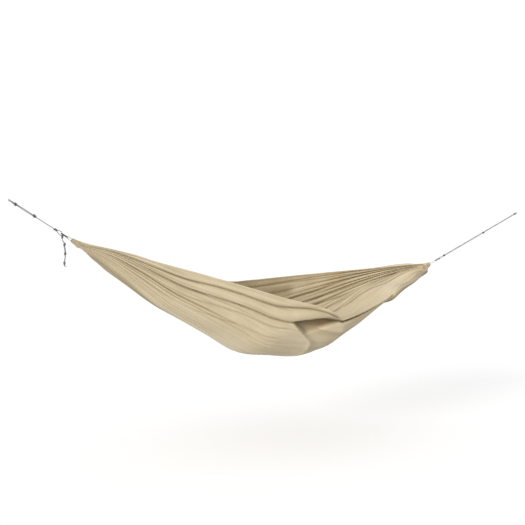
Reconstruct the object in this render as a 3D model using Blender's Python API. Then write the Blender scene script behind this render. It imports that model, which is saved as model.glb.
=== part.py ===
"""A gathered-end cloth hammock hung between two knotted cords.

Metres, +Z up. The origin is the bight at the far end of the left cord, where the left
anchor holds it. +X runs along the hammock to the right anchor, and -Y is the near side.
"""

import math

import bmesh
import bpy
import numpy as np
from mathutils import Matrix, Vector

# Hanging geometry: run is horizontal, fall is vertical
LEFT_CORD_RUN = 0.281
LEFT_CORD_FALL = 0.176
TIP_SPAN = 2.300
TIP_DROP = 0.158
RIGHT_CORD_RUN = 0.839

# Cloth, with heights measured down from the left tip and the low point from its side
LOW_POINT = 1.245
KEEL_FALL = 0.634
NEAR_RIM_OUT = 0.430
NEAR_RIM_FALL = 0.398
FAR_RIM_OUT = 0.352
FAR_RIM_FALL = 0.238
CLOTH = 0.0016
HEM = 0.0050
HEM_GAP = 0.0006
HEM_REACH = 0.02
BELLY_BULGE = 0.030
PLEAT_AT_TIP = 0.0026
PLEAT_AT_FLANK = 0.0180
PLEAT_AT_BELLY = 0.0050
STATIONS = 30
COLUMNS = 20

# How each guide line falls from its tips, left and right: 1 runs straight to the low point
KEEL_BEND = (2.0, 1.10)
KEEL_FLARE = 1.38
NEAR_RIM_BEND = (0.91, 1.25)
FAR_RIM_BEND = (1.80, 1.05)
RIM_FLARE = 1.0
RIM_SPREAD_BEND = 1.35

# The near wall's slack band, which rolls outwards left of the low point
ROLL_OUT = 0.020
ROLL_DROP = 0.015
ROLL_TUCK = 0.035
ROLL_REACH = 0.20
ROLL_BACK = 0.06

# The near wall hangs tighter right of the low point
NEAR_TAUTNESS = 0.80
TAUT_LEAD = 0.04
TAUT_REACH = 0.10

# Gathered ends
GATHER = 0.040
GATHER_TIP_HALF = (0.0080, 0.0095)
GATHER_SEAM_HALF = (0.0150, 0.0200)
FLUTES = 12
FLUTE_DEPTH = 0.0012
RIM_GAP = 0.0130
RIM_INSET = 0.0020
GATHER_RINGS = 5

# Cords
CORD = 0.0030
STRAND_SPREAD = CORD + 0.0003
STRAND_BOW = 0.0012
STRAND_STEP = 0.035
END_LOOP_HALF = 0.0050
END_LOOP_DEPTH = 0.0260
LEFT_HOOK_REACH = 0.020
RIGHT_HOOK_REACH = 0.056

# Knots: places are distances from the tip of the cloth along the cord
LEFT_KNOTS = (0.087, 0.198, 0.297)
RIGHT_KNOTS = (0.140, 0.536, 0.880)
KNOT_LOBE = 0.867 * CORD
KNOT_DEPTH = 0.867 * CORD
KNOT_HALF = 3.17 * CORD
KNOT_OVERLAP = 0.35
KNOT_AXIS = 2.1
KNOT_POINTS = 27
TAIL_KNOT_SHARE = 0.86
TAIL_KNOTS = (0.0215, 0.0615, 0.1055)
SWING_GAP = 0.0005

# Snap hooks
HOOK_LENGTH = 0.0380
HOOK_WIDTH = 0.0200
HOOK_ROD = 0.0040
GATE_ROD = 0.0036
TONGUE = 0.0014
PIN = 0.0012
PIN_PROUD = 0.0003
PIVOT_INSET = 0.0010
SPINE_END = 0.0030
LAP = 0.0022
LAP_EASE = 0.0010
LAP_SLIT = 0.0003
NOSE_SETBACK = 0.0005
GATE_CLEARANCE = 0.0006
FORK_DEPTH = 0.0026
CUTTER_REACH = 0.0100

GAP = 0.0003
PIN_PLAY = 0.00012

SAND = (0.520, 0.415, 0.265)
SAND_DARK = (0.400, 0.310, 0.190)
CORD_GREY = (0.070, 0.080, 0.078)
LOOP_GREY = (0.440, 0.470, 0.470)
ANODISED = (0.050, 0.058, 0.058)
STEEL = (0.420, 0.420, 0.410)


def make_material(name, colour, roughness, metallic=0.0):
    """One Principled BSDF of a plain colour."""
    material = bpy.data.materials.new(name)
    material.use_nodes = True
    shader = material.node_tree.nodes["Principled BSDF"]
    shader.inputs["Base Color"].default_value = (*colour, 1.0)
    shader.inputs["Roughness"].default_value = roughness
    shader.inputs["Metallic"].default_value = metallic
    return material


def add_object(name, data, material, place):
    """Link a mesh or curve as a named object standing at the matrix place."""
    obj = bpy.data.objects.new(name, data)
    bpy.context.scene.collection.objects.link(obj)
    data.materials.append(material)
    obj.matrix_world = place
    return obj


def add_mesh(name, verts, faces, material, place, crease=40.0):
    """A closed mesh object with smooth faces and creases over a given angle."""
    mesh = bpy.data.meshes.new(name)
    mesh.from_pydata([tuple(v) for v in verts], [], faces)
    mesh.validate()
    tidy = bmesh.new()
    tidy.from_mesh(mesh)
    bmesh.ops.recalc_face_normals(tidy, faces=tidy.faces)
    tidy.to_mesh(mesh)
    tidy.free()
    mesh.shade_smooth()
    mesh.set_sharp_from_angle(angle=math.radians(crease))
    return add_object(name, mesh, material, place)


def add_tube(name, points, diameter, material, place, closed=False, widths=None, sides=8):
    """A cord or rod: a round tube along points, with filled flat ends."""
    curve = bpy.data.curves.new(name, "CURVE")
    curve.dimensions = "3D"
    curve.bevel_depth = diameter / 2
    curve.bevel_resolution = (sides - 4) // 2
    curve.use_fill_caps = True
    curve.twist_mode = "MINIMUM"
    spline = curve.splines.new("POLY")
    spline.points.add(len(points) - 1)
    for index, point in enumerate(points):
        spline.points[index].co = (*point, 1.0)
        spline.points[index].radius = widths[index] if widths else 1.0
    spline.use_cyclic_u = closed
    spline.use_smooth = True
    return add_object(name, curve, material, place)


def smooth_route(knots, steps, closed=False):
    """Points of a smooth Catmull-Rom curve through a route's own points."""
    count = len(knots)
    spans = count if closed else count - 1
    points = []
    for span in range(spans):
        if closed:
            p0, p1, p2, p3 = (Vector(knots[(span + k) % count]) for k in (-1, 0, 1, 2))
        else:
            p1, p2 = Vector(knots[span]), Vector(knots[span + 1])
            p0 = Vector(knots[span - 1]) if span else p1 * 2 - p2
            p3 = Vector(knots[span + 2]) if span + 2 < count else p2 * 2 - p1
        for step in range(steps):
            t = step / steps
            points.append(
                0.5
                * (
                    2 * p1
                    + (p2 - p0) * t
                    + (2 * p0 - 5 * p1 + 4 * p2 - p3) * t**2
                    + (3 * p1 - p0 - 3 * p2 + p3) * t**3
                )
            )
    if not closed:
        points.append(Vector(knots[-1]))
    return points


def cord_frame(tip, anchor):
    """Frame of one suspension line: X from the cloth's tip to the anchor, Z upwards.

    Its Y is across the hammock, pointing to the far side on the right-hand line and to
    the near side on the left-hand one.
    """
    along = (anchor - tip).normalized()
    across = Vector((0, math.copysign(1.0, along.x), 0))
    up = along.cross(across)
    turn = Matrix((along, across, up)).transposed().to_4x4()
    return Matrix.Translation(tip) @ turn


LEFT_TIP = Vector((LEFT_CORD_RUN, 0, -LEFT_CORD_FALL))
RIGHT_TIP = LEFT_TIP + Vector((TIP_SPAN, 0, -TIP_DROP))
LEFT_ANCHOR = Vector((0, 0, 0))
RIGHT_ANCHOR = Vector((RIGHT_TIP.x + RIGHT_CORD_RUN, 0, 0))
LEFT_LINE = cord_frame(LEFT_TIP, LEFT_ANCHOR)
RIGHT_LINE = cord_frame(RIGHT_TIP, RIGHT_ANCHOR)
LEFT_LENGTH = (LEFT_ANCHOR - LEFT_TIP).length
RIGHT_LENGTH = (RIGHT_ANCHOR - RIGHT_TIP).length


def seam_point(line, across, up):
    """A point in the plane where the cloth meets a gathered end, in world space."""
    side = math.copysign(1.0, line.col[1].y)
    return line @ Vector((-GATHER - GAP, across * side, up))


def guide_line(across, up, low, bends, flare):
    """A lengthwise line of the cloth: seam to low point to seam, as a function of u."""
    start = seam_point(LEFT_LINE, across, up)
    end = seam_point(RIGHT_LINE, across, up)
    middle = (low.x - start.x) / (end.x - start.x)

    def point(u):
        left = u < middle
        base, reach, bend = (start, middle, bends[0]) if left else (end, 1 - middle, bends[1])
        share = min(1.0, abs(u - middle) / reach)
        fall = (1 - share**bend) ** flare
        spread = 1 - share**RIM_SPREAD_BEND
        return Vector(
            (
                start.x + (end.x - start.x) * u,
                base.y + (low.y - base.y) * spread,
                base.z + (low.z - base.z) * fall,
            )
        )

    return point


LOW_X = LEFT_TIP.x + LOW_POINT
RIM_UP = GATHER_SEAM_HALF[1] - RIM_INSET
KEEL = guide_line(
    0,
    -GATHER_SEAM_HALF[1],
    Vector((LOW_X, 0, LEFT_TIP.z - KEEL_FALL)),
    KEEL_BEND,
    KEEL_FLARE,
)
NEAR_RIM = guide_line(
    -RIM_GAP / 2,
    RIM_UP,
    Vector((LOW_X, -NEAR_RIM_OUT, LEFT_TIP.z - NEAR_RIM_FALL)),
    NEAR_RIM_BEND,
    RIM_FLARE,
)
FAR_RIM = guide_line(
    RIM_GAP / 2,
    RIM_UP,
    Vector((LOW_X, FAR_RIM_OUT, LEFT_TIP.z - FAR_RIM_FALL)),
    FAR_RIM_BEND,
    RIM_FLARE,
)
LOW_U = (LOW_POINT - GATHER) / (TIP_SPAN - 2 * GATHER)


def hump(value, centre, width):
    """A smooth bump of height 1 at the centre."""
    return math.exp(-(((value - centre) / width) ** 2))


def ease(value):
    """A smooth step from 0 at 0 to 1 at 1."""
    value = min(1.0, max(0.0, value))
    return value * value * (3 - 2 * value)


def openness(u):
    """0 at the gathered ends, 1 where the cloth hangs open at its low point."""
    share = abs(u - LOW_U) / (LOW_U if u < LOW_U else 1 - LOW_U)
    return 1 - min(1.0, share) ** 2.2


def cloth_point(u, v):
    """The cloth's middle surface without its pleats; v runs from near to far rim."""
    keel = KEEL(u)
    near = v < 0.5
    climb = abs(2 * v - 1)
    rim = NEAR_RIM(u) if near else FAR_RIM(u)
    side = -1 if near else 1
    open_share = openness(u)
    rise = rim - keel
    hanging = 1 - math.cos(math.pi * climb / 2)
    tight = ease((u - LOW_U + TAUT_LEAD) / TAUT_REACH) if near else 0.0
    hanging += (climb - hanging) * NEAR_TAUTNESS * tight
    lift = (1 - math.cos(math.pi * climb)) / 2 * (1 - open_share)
    lift += hanging * open_share
    bulge = GATHER_SEAM_HALF[0] + (BELLY_BULGE - GATHER_SEAM_HALF[0]) * open_share
    point = keel + Vector((rise.x, 0, rise.z)) * lift
    point.y += rise.y * math.sin(math.pi * climb / 2)
    point.y += side * bulge * math.sin(math.pi * climb)
    if near:
        slack = hump(u, LOW_U - ROLL_BACK, ROLL_REACH) * open_share * (1 - tight)
        point.y -= ROLL_OUT * slack * hump(climb, 0.90, 0.10)
        point.y += ROLL_TUCK * slack * hump(climb, 0.68, 0.10)
        point.z -= ROLL_DROP * slack * hump(climb, 0.80, 0.09)
    return point


def cloth_normal(u, v):
    """Outward normal of the unpleated cloth, square to the cord at the two seams."""
    small = 1e-3
    u0, u1 = max(0.0, u - small), min(1.0, u + small)
    v0, v1 = max(0.0, v - small), min(1.0, v + small)
    lengthwise = cloth_point(u1, v) - cloth_point(u0, v)
    crosswise = cloth_point(u, v1) - cloth_point(u, v0)
    normal = crosswise.cross(lengthwise)
    if u in (0.0, 1.0):
        along = (LEFT_LINE if u == 0.0 else RIGHT_LINE).to_3x3().col[0]
        normal -= along * normal.dot(along)
    return normal.normalized()


def pleat_height(u, column):
    """Height of one column of the cloth over its unpleated surface; the hems hold it flat."""
    if column in (0, COLUMNS):
        return 0.0
    flank = hump(openness(u), 0.55, 0.30)
    ends = PLEAT_AT_TIP + (PLEAT_AT_BELLY - PLEAT_AT_TIP) * openness(u)
    height = ends + (PLEAT_AT_FLANK - ends) * flank
    return height * (0.5 if column % 2 else -0.5)


def cloth_vertex(row, column, offset):
    """A vertex of the pleated cloth, offset along its normal."""
    u = row / STATIONS
    v = column / COLUMNS
    return cloth_point(u, v) + cloth_normal(u, v) * (pleat_height(u, column) + offset)


def build_bed_cloth(material):
    """The sheet of the hammock with its main folds, as one thin closed shell."""
    verts = []
    for offset in (CLOTH / 2, -CLOTH / 2):
        for row in range(STATIONS + 1):
            for column in range(COLUMNS + 1):
                verts.append(cloth_vertex(row, column, offset))
    wide = COLUMNS + 1
    inner = (STATIONS + 1) * wide
    faces = []
    for row in range(STATIONS):
        for column in range(COLUMNS):
            corner = row * wide + column
            far = corner + wide + 1
            # Both sides are cut along the same diagonal, so that they can't pass through each other
            for half in ((corner, corner + 1, far), (corner, far, corner + wide)):
                faces.append(half)
                faces.append(tuple(inner + index for index in reversed(half)))
    border = list(range(COLUMNS))
    border += [row * wide + COLUMNS for row in range(STATIONS)]
    border += [STATIONS * wide + COLUMNS - column for column in range(COLUMNS)]
    border += [(STATIONS - row) * wide for row in range(STATIONS)]
    for index, corner in enumerate(border):
        following = border[(index + 1) % len(border)]
        faces.append((following, corner, corner + inner, following + inner))
    add_mesh("bed_cloth", verts, faces, material, Matrix.Identity(4), crease=60.0)


def build_hem(name, edge, material):
    """The rolled hem that runs along one long edge of the cloth, where v is 0 or 1."""
    points = []
    for row in range(STATIONS + 1):
        u = row / STATIONS
        outward = cloth_point(u, edge) - cloth_point(u, abs(edge - HEM_REACH))
        if row in (0, STATIONS):
            along = (LEFT_LINE if row == 0 else RIGHT_LINE).to_3x3().col[0]
            outward -= along * outward.dot(along)
        on_edge = cloth_vertex(row, edge * COLUMNS, 0)
        points.append(on_edge + outward.normalized() * (HEM / 2 + HEM_GAP))
    # The hem's flat ends stand askew of the seam, so they stop short of it
    points[0] += (points[1] - points[0]).normalized() * HEM / 2
    points[-1] += (points[-2] - points[-1]).normalized() * HEM / 2
    add_tube(name, points, HEM, material, Matrix.Identity(4), sides=8)


def end_loop_points(reach):
    """Centre line of an end loop: round the hook's bow and into the gathered cloth."""
    bow = reach + HOOK_ROD / 2
    turn = HOOK_ROD / 2 + CORD / 2 + GAP * 1.5
    deep = -END_LOOP_DEPTH
    half = END_LOOP_HALF
    route = [
        (bow + turn, 0, 0),
        (bow + turn * 0.64, 0, turn * 0.80),
        (bow - turn * 0.35, 0, turn * 1.02),
        (0.55 * bow, 0, (half + turn) / 2),
        (0.0, 0, half),
        (deep * 0.6, 0, half),
        (deep * 0.92, 0, half * 0.72),
        (deep, 0, 0),
    ]
    lower = [(x, y, -z) for x, y, z in reversed(route[1:-1])]
    return smooth_route(route + lower, 2, closed=True)


def gather_ring(station):
    """One ring of a gathered end, from 0 at the seam to 1 at the tip."""
    ring = []
    wide = [a + (b - a) * station**0.7 for a, b in zip(GATHER_SEAM_HALF, GATHER_TIP_HALF)]
    count = FLUTES * 4
    for index in range(count):
        angle = 2 * math.pi * index / count
        flute = FLUTE_DEPTH * (0.5 + 0.5 * math.cos(FLUTES * angle))
        y = (wide[0] + PLEAT_AT_TIP - flute) * math.cos(angle)
        z = (wide[1] + PLEAT_AT_TIP - flute) * math.sin(angle)
        ring.append((GATHER * (station - 1), y, z))
    return ring


def build_gather(side, line, reach, cloth_material, loop_material):
    """A gathered end: the cloth's end channel bunched on its loop of cord."""
    rings = [gather_ring(index / GATHER_RINGS) for index in range(GATHER_RINGS + 1)]
    count = len(rings[0])
    verts = [vert for ring in rings for vert in ring]
    last = GATHER_RINGS * count
    faces = [tuple(range(count)), tuple(range(last, last + count))]
    for low in range(0, last, count):
        high = low + count
        for index in range(count):
            following = (index + 1) % count
            faces.append((low + index, low + following, high + following, high + index))
    gather = add_mesh(f"{side}_gather", verts, faces, cloth_material, line)
    points = end_loop_points(reach)
    add_tube(f"{side}_end_loop", points, CORD, loop_material, line, closed=True)
    bore = add_tube(
        f"{side}_loop_bore", points, CORD + 2 * GAP, loop_material, line, closed=True, sides=8
    )
    cut_with(gather, as_mesh(bore))


def as_mesh(tube):
    """Turn a tube made from a curve into a mesh object of the same name, for Booleans."""
    name = tube.name
    place = tube.matrix_world.copy()
    mesh = bpy.data.meshes.new_from_object(tube)
    bpy.data.objects.remove(tube)
    solid = bpy.data.objects.new(name, mesh)
    bpy.context.scene.collection.objects.link(solid)
    solid.matrix_world = place
    return solid


def cut_with(obj, cutter):
    """Subtract a hidden cutter from an object."""
    cutter.hide_render = True
    cutter.display_type = "WIRE"
    cut = obj.modifiers.new(f"cut_{cutter.name}", "BOOLEAN")
    cut.operation = "DIFFERENCE"
    cut.solver = "EXACT"
    cut.object = cutter


def add_block(name, low, high, place):
    """A box between two corners, used as a cutter."""
    size = [b - a for a, b in zip(low, high)]
    middle = [(a + b) / 2 for a, b in zip(low, high)]
    mesh = bpy.data.meshes.new(name)
    block = bmesh.new()
    bmesh.ops.create_cube(
        block, size=1.0, matrix=Matrix.Translation(middle) @ Matrix.Diagonal((*size, 1.0))
    )
    block.to_mesh(mesh)
    block.free()
    obj = bpy.data.objects.new(name, mesh)
    bpy.context.scene.collection.objects.link(obj)
    obj.matrix_world = place
    return obj


def add_pin(name, radius, length, place, material=None, sides=16):
    """A round pin standing along Z about the origin of place."""
    mesh = bpy.data.meshes.new(name)
    pin = bmesh.new()
    bmesh.ops.create_cone(
        pin, cap_ends=True, segments=sides, radius1=radius, radius2=radius, depth=length
    )
    pin.to_mesh(mesh)
    pin.free()
    mesh.shade_smooth()
    mesh.set_sharp_from_angle(angle=math.radians(40))
    obj = bpy.data.objects.new(name, mesh)
    bpy.context.scene.collection.objects.link(obj)
    obj.matrix_world = place
    if material:
        mesh.materials.append(material)
    return obj


def build_hook(side, line, reach, body_material, pin_material):
    """A snap hook: bent rod body, sprung gate and the rivet that the gate turns on."""
    bow = (HOOK_WIDTH - HOOK_ROD) / 2
    straight = (HOOK_LENGTH - HOOK_WIDTH) / 2
    place = line @ Matrix.Translation((reach + HOOK_LENGTH / 2, 0, 0))
    nose = straight - NOSE_SETBACK
    hinge = -straight
    steps = 8
    points = [(hinge + SPINE_END, -bow, 0), (hinge, -bow, 0)]
    for index in range(1, steps + 1):
        angle = math.pi * index / steps
        points.append((hinge - bow * math.sin(angle), -bow * math.cos(angle), 0))
    for index in range(steps + 1):
        angle = math.pi * index / steps
        points.append((straight + bow * math.sin(angle), bow * math.cos(angle), 0))
    points.append((nose - LAP, -bow, 0))
    body = as_mesh(add_tube(f"{side}_hook_body", points, HOOK_ROD, body_material, place, sides=12))
    pivot = place @ Matrix.Translation((hinge + PIVOT_INSET, -bow, 0))
    # The hinge end is flattened to a tongue that the gate's fork straddles
    tongue_low = -FORK_DEPTH - 0.0004
    for level, sign in (("upper", 1), ("lower", -1)):
        low, high = sorted((sign * TONGUE / 2, sign * HOOK_ROD))
        corners = ((tongue_low, -0.0030, low), (HOOK_ROD, 0.0030, high))
        cut_with(body, add_block(f"{side}_tongue_{level}", *corners, pivot))
    cut_with(body, add_pin(f"{side}_tongue_bore", PIN / 2 + PIN_PLAY, CUTTER_REACH, pivot))
    nose_place = place @ Matrix.Translation((nose, -bow, 0))
    corners = ((-LAP - LAP_EASE, -LAP_SLIT / 2, -HOOK_ROD), (LAP_EASE / 2, HOOK_ROD, HOOK_ROD))
    cut_with(body, add_block(f"{side}_nose_lap", *corners, nose_place))
    build_gate(side, pivot, nose - hinge - PIVOT_INSET, body_material)
    add_pin(f"{side}_hook_pin", PIN / 2, GATE_ROD + 2 * PIN_PROUD, pivot, pin_material)


def build_gate(side, pivot, reach, material):
    """The gate, whose origin lies on its rivet's axis."""
    tip = reach - GATE_CLEARANCE
    route = [(-GATE_ROD / 2, 0, 0), (GATE_ROD, 0, 0), (tip * 0.6, 0, 0), (tip, 0, 0)]
    gate = as_mesh(add_tube(f"{side}_hook_gate", route, GATE_ROD, material, pivot, sides=12))
    half = TONGUE / 2 + GAP
    corners = ((-GATE_ROD, -GATE_ROD, -half), (FORK_DEPTH, GATE_ROD, half))
    cut_with(gate, add_block(f"{side}_fork_slot", *corners, pivot))
    cut_with(gate, add_pin(f"{side}_fork_bore", PIN / 2 + PIN_PLAY, CUTTER_REACH, pivot))
    corners = ((tip - LAP - LAP_EASE, -GATE_ROD, -GATE_ROD), (tip + LAP_EASE, LAP_SLIT / 2, GATE_ROD))
    cut_with(gate, add_block(f"{side}_gate_lap", *corners, pivot))


def knot_route(share=1.0):
    """Centre line of an overhand knot along X, both ends on the axis.

    A trefoil is opened at one lobe, where its two ends pass side by side and then run
    out along the axis.
    """
    lobe = KNOT_LOBE * share
    depth = KNOT_DEPTH * share
    half = KNOT_HALF * share
    points = []
    first = math.pi + KNOT_OVERLAP
    last = 3 * math.pi - KNOT_OVERLAP
    for index in range(KNOT_POINTS):
        t = first + (last - first) * index / (KNOT_POINTS - 1)
        x = lobe * (math.sin(t) + 2 * math.sin(2 * t))
        y = lobe * (math.cos(t) - 2 * math.cos(2 * t) + KNOT_AXIS)
        wave = math.sin(3 * t)
        z = -depth * math.copysign(abs(wave) ** 0.5, wave)
        points.append(Vector((x, y, z)))
    enter, leave = points[0], points[-1]
    lead = [
        Vector((-half, 0, 0)),
        Vector((-half * 0.78, enter.y * 0.10, enter.z * 0.12)),
        Vector((-half * 0.42, enter.y * 0.62, enter.z * 0.72)),
        Vector((-half * 0.08, enter.y * 0.98, enter.z * 1.02)),
    ]
    trail = [Vector((-p.x, p.y, -p.z)) for p in reversed(lead)]
    return lead + points + trail


def least_gap(points, diameter):
    """Least clearance of a tube to itself, away from its own neighbouring points."""
    corners = [Vector(p) for p in points]
    route = np.array(
        [a.lerp(b, share) for a, b in zip(corners, corners[1:]) for share in (0.0, 0.25, 0.5, 0.75)]
    )
    steps = np.linalg.norm(np.diff(route, axis=0), axis=1)
    along = np.concatenate([[0.0], np.cumsum(steps)])
    apart = np.linalg.norm(route[:, None, :] - route[None, :, :], axis=2)
    far = np.abs(along[:, None] - along[None, :]) > 2.2 * diameter
    return float(apart[far].min() - diameter)


def build_knot(name, line, centre, material, lean=0.0, direction=(1, 0, 0), share=1.0):
    """One overhand knot about a point of the line's frame, leaning round its own axis."""
    heading = Vector(direction).normalized()
    turn = Vector((1, 0, 0)).rotation_difference(heading).to_matrix().to_4x4()
    place = line @ Matrix.Translation(centre) @ turn @ Matrix.Rotation(lean, 4, "X")
    points = knot_route(share)
    diameter = CORD * share
    add_tube(name, points, diameter, material, place, sides=6)
    return least_gap(points, diameter)


def build_strands(name, line, start, end, material):
    """The two strands of doubled cord between two knots, lying one over the other."""
    count = max(3, round((end - start) / STRAND_STEP))
    for label, sign in (("upper", 1), ("lower", -1)):
        points = []
        for index in range(count + 1):
            share = index / count
            spread = STRAND_SPREAD / 2 + STRAND_BOW * math.sin(math.pi * share)
            points.append((start + (end - start) * share, 0, sign * spread))
        add_tube(f"{name}_{label}", points, CORD, material, line)


def build_anchor_eye(name, line, start, end, material):
    """The bight at the end of a suspension cord, which the anchor holds."""
    half = STRAND_SPREAD / 2
    belly = min(0.0060, (end - start) * 0.28)
    route = [
        (start, 0, half),
        (start + (end - start) * 0.35, 0, (half + belly) / 2),
        (end - CORD / 2 - belly, 0, belly),
        (end - CORD / 2 - belly * 0.3, 0, belly * 0.72),
        (end - CORD / 2, 0, 0),
    ]
    lower = [(x, y, -z) for x, y, z in reversed(route[:-1])]
    add_tube(name, smooth_route(route + lower, 3), CORD, material, line)


def build_left_cord(line, material):
    """The left cord: bight, three knots in line, the loop that holds the hook."""
    first, second, third = LEFT_KNOTS
    build_anchor_eye("left_anchor_eye", line, third + KNOT_HALF + SWING_GAP, LEFT_LENGTH, material)
    build_strands("left_cord_1", line, second + KNOT_HALF + GAP, third - KNOT_HALF - GAP, material)
    build_strands("left_cord_2", line, first + KNOT_HALF + GAP, second - KNOT_HALF - GAP, material)
    gaps = [
        build_knot("left_knot_1", line, (third, 0, 0), material, lean=math.radians(160)),
        build_knot("left_knot_2", line, (second, 0, 0), material, lean=math.radians(20)),
        build_knot("left_knot_3", line, (first, 0, 0), material, lean=math.radians(95)),
    ]
    down = line.to_3x3().inverted() @ Vector((0, 0, -1))
    rod = LEFT_HOOK_REACH + HOOK_LENGTH - HOOK_ROD / 2
    join = Vector((rod - 0.0100, 0, -0.0062))
    beside = Vector((-down.z, 0, down.x)) * (STRAND_SPREAD / 2 + GAP)
    begin = first - KNOT_HALF - GAP
    near_rod = HOOK_ROD / 2 + CORD / 2 + GAP
    upper = [
        (begin, 0, STRAND_SPREAD / 2),
        (begin - 0.0060, 0, 0.0046),
        (rod + 0.0050, 0, 0.0064),
        (rod - 0.0006, 0, near_rod + 0.0008),
        (rod - near_rod - 0.0006, 0, 0.0010),
        tuple(join - down * 0.0024 - beside),
        tuple(join - down * SWING_GAP - beside),
    ]
    lower = [
        (begin, 0, -STRAND_SPREAD / 2),
        (begin - 0.0060, 0, -0.0050),
        (rod + 0.0050, 0, -0.0078),
        (rod - 0.0030, 0, -0.0082),
        tuple(join - down * 0.0020 + beside),
        tuple(join - down * SWING_GAP + beside),
    ]
    add_tube("left_hook_loop_upper", smooth_route(upper, 3), CORD, material, line)
    add_tube("left_hook_loop_lower", smooth_route(lower, 3), CORD, material, line)
    centre = join + down * KNOT_HALF
    gaps.append(
        build_knot("left_knot_4", line, centre, material, lean=math.radians(90), direction=down)
    )
    build_left_tail(line @ (centre + down * (KNOT_HALF + GAP)), material)
    return min(gaps)


def build_left_tail(top, material):
    """The knotted tail that hangs straight down below the left hook."""
    hang = Matrix.Translation(top) @ Matrix.Rotation(math.pi / 2, 4, "Y")
    pivot_dome = CORD / 2
    half = KNOT_HALF * TAIL_KNOT_SHARE
    start = 0.0
    for index, place in enumerate(TAIL_KNOTS, start=1):
        stop = place - half - GAP
        if index == 1:
            points, widths = [], []
            for step in range(4):
                angle = math.radians(10 + 80 * step / 3)
                points.append((pivot_dome * (1 - math.cos(angle)), 0, 0))
                widths.append(math.sin(angle))
            points.append((stop, 0, 0))
            widths.append(1.0)
            add_tube("left_tail_cord_1", points, CORD, material, hang, widths=widths)
        else:
            middle = ((start + stop) / 2, 0.0006, 0.0005)
            points = smooth_route([(start, 0, 0), middle, (stop, 0, 0)], 2)
            add_tube(f"left_tail_cord_{index}", points, CORD, material, hang)
        build_knot(
            f"left_tail_knot_{index}",
            hang,
            (place, 0, 0),
            material,
            lean=math.radians(40 + 110 * index),
            share=TAIL_KNOT_SHARE,
        )
        start = place + half + GAP
    stub = [(0, 0, 0), (0.0030, 0, 0.0006), (0.0050, 0, 0.0040), (0.0056, 0, 0.0100)]
    place = hang @ Matrix.Translation((start, 0, 0))
    add_tube("left_tail_stub", smooth_route(stub, 3), CORD, material, place)


def build_right_cord(line, material):
    """The right cord: the bight round its hook, three knots and the anchor bight."""
    first, second, third = RIGHT_KNOTS
    rod = RIGHT_HOOK_REACH + HOOK_LENGTH - HOOK_ROD / 2
    near_rod = HOOK_ROD / 2 + CORD / 2 + GAP * 1.5
    begin = first - KNOT_HALF - GAP
    route = [
        (begin, 0, STRAND_SPREAD / 2),
        ((begin + rod) / 2, 0, 0.0034),
        (rod + 0.0040, 0, near_rod + 0.0006),
        (rod - 0.0014, 0, near_rod),
        (rod - near_rod, 0, 0),
    ]
    lower = [(x, y, -z) for x, y, z in reversed(route[:-1])]
    add_tube("right_hook_bight", smooth_route(route + lower, 3), CORD, material, line)
    gaps = [
        build_knot("right_knot_1", line, (first, 0, 0), material, lean=math.radians(15)),
        build_knot("right_knot_2", line, (second, 0, 0), material, lean=math.radians(200)),
        build_knot("right_knot_3", line, (third, 0, 0), material, lean=math.radians(80)),
    ]
    build_strands("right_cord_1", line, first + KNOT_HALF + GAP, second - KNOT_HALF - GAP, material)
    build_strands("right_cord_2", line, second + KNOT_HALF + GAP, third - KNOT_HALF - GAP, material)
    build_anchor_eye("right_anchor_eye", line, third + KNOT_HALF + SWING_GAP, RIGHT_LENGTH, material)
    return min(gaps)


def main():
    """Build the whole hammock."""
    for obj in list(bpy.data.objects):
        bpy.data.objects.remove(obj)
    cloth = make_material("sand_cloth", SAND, 0.85)
    hem = make_material("hem_cloth", SAND_DARK, 0.85)
    cord = make_material("grey_cord", CORD_GREY, 0.80)
    loop = make_material("pale_loop_cord", LOOP_GREY, 0.60)
    anodised = make_material("anodised_hook", ANODISED, 0.35, 1.0)
    steel = make_material("steel_rivet", STEEL, 0.30, 1.0)
    build_bed_cloth(cloth)
    build_hem("near_edge_hem", 0, hem)
    build_hem("far_edge_hem", 1, hem)
    for side, line, reach in (
        ("left", LEFT_LINE, LEFT_HOOK_REACH),
        ("right", RIGHT_LINE, RIGHT_HOOK_REACH),
    ):
        build_gather(side, line, reach, cloth, loop)
        build_hook(side, line, reach, anodised, steel)
    gap = min(build_left_cord(LEFT_LINE, cord), build_right_cord(RIGHT_LINE, cord))
    print(f"least gap of a knot to itself: {gap * 1000:.2f} mm")


main()
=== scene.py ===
"""Visual model of a gathered-end cloth hammock hung between two knotted cords.

Metres, +Z up. The origin is the bight at the far end of the left cord and +X runs along
the hammock to the right anchor. -Y is the near side, whose rim hangs lower.
"""

import logging
import math
from dataclasses import dataclass, field
from enum import Enum
from typing import Any, Iterable, Sequence

import bmesh
import bpy
import numpy as np
from mathutils import Matrix, Vector


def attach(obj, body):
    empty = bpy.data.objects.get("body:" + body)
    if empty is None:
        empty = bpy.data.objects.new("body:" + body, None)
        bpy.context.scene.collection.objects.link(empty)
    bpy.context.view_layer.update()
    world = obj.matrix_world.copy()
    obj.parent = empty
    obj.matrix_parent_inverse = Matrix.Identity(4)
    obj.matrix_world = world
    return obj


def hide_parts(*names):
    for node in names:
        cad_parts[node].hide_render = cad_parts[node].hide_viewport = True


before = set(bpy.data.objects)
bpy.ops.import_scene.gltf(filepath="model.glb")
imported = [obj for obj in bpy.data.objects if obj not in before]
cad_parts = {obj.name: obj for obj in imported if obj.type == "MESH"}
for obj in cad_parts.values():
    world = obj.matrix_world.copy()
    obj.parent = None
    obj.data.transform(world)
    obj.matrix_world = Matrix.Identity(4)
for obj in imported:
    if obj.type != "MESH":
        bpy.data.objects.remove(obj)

LOG = logging.getLogger("hammock")

Pair = tuple[float, float]
Row = tuple[float, float, float]

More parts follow.
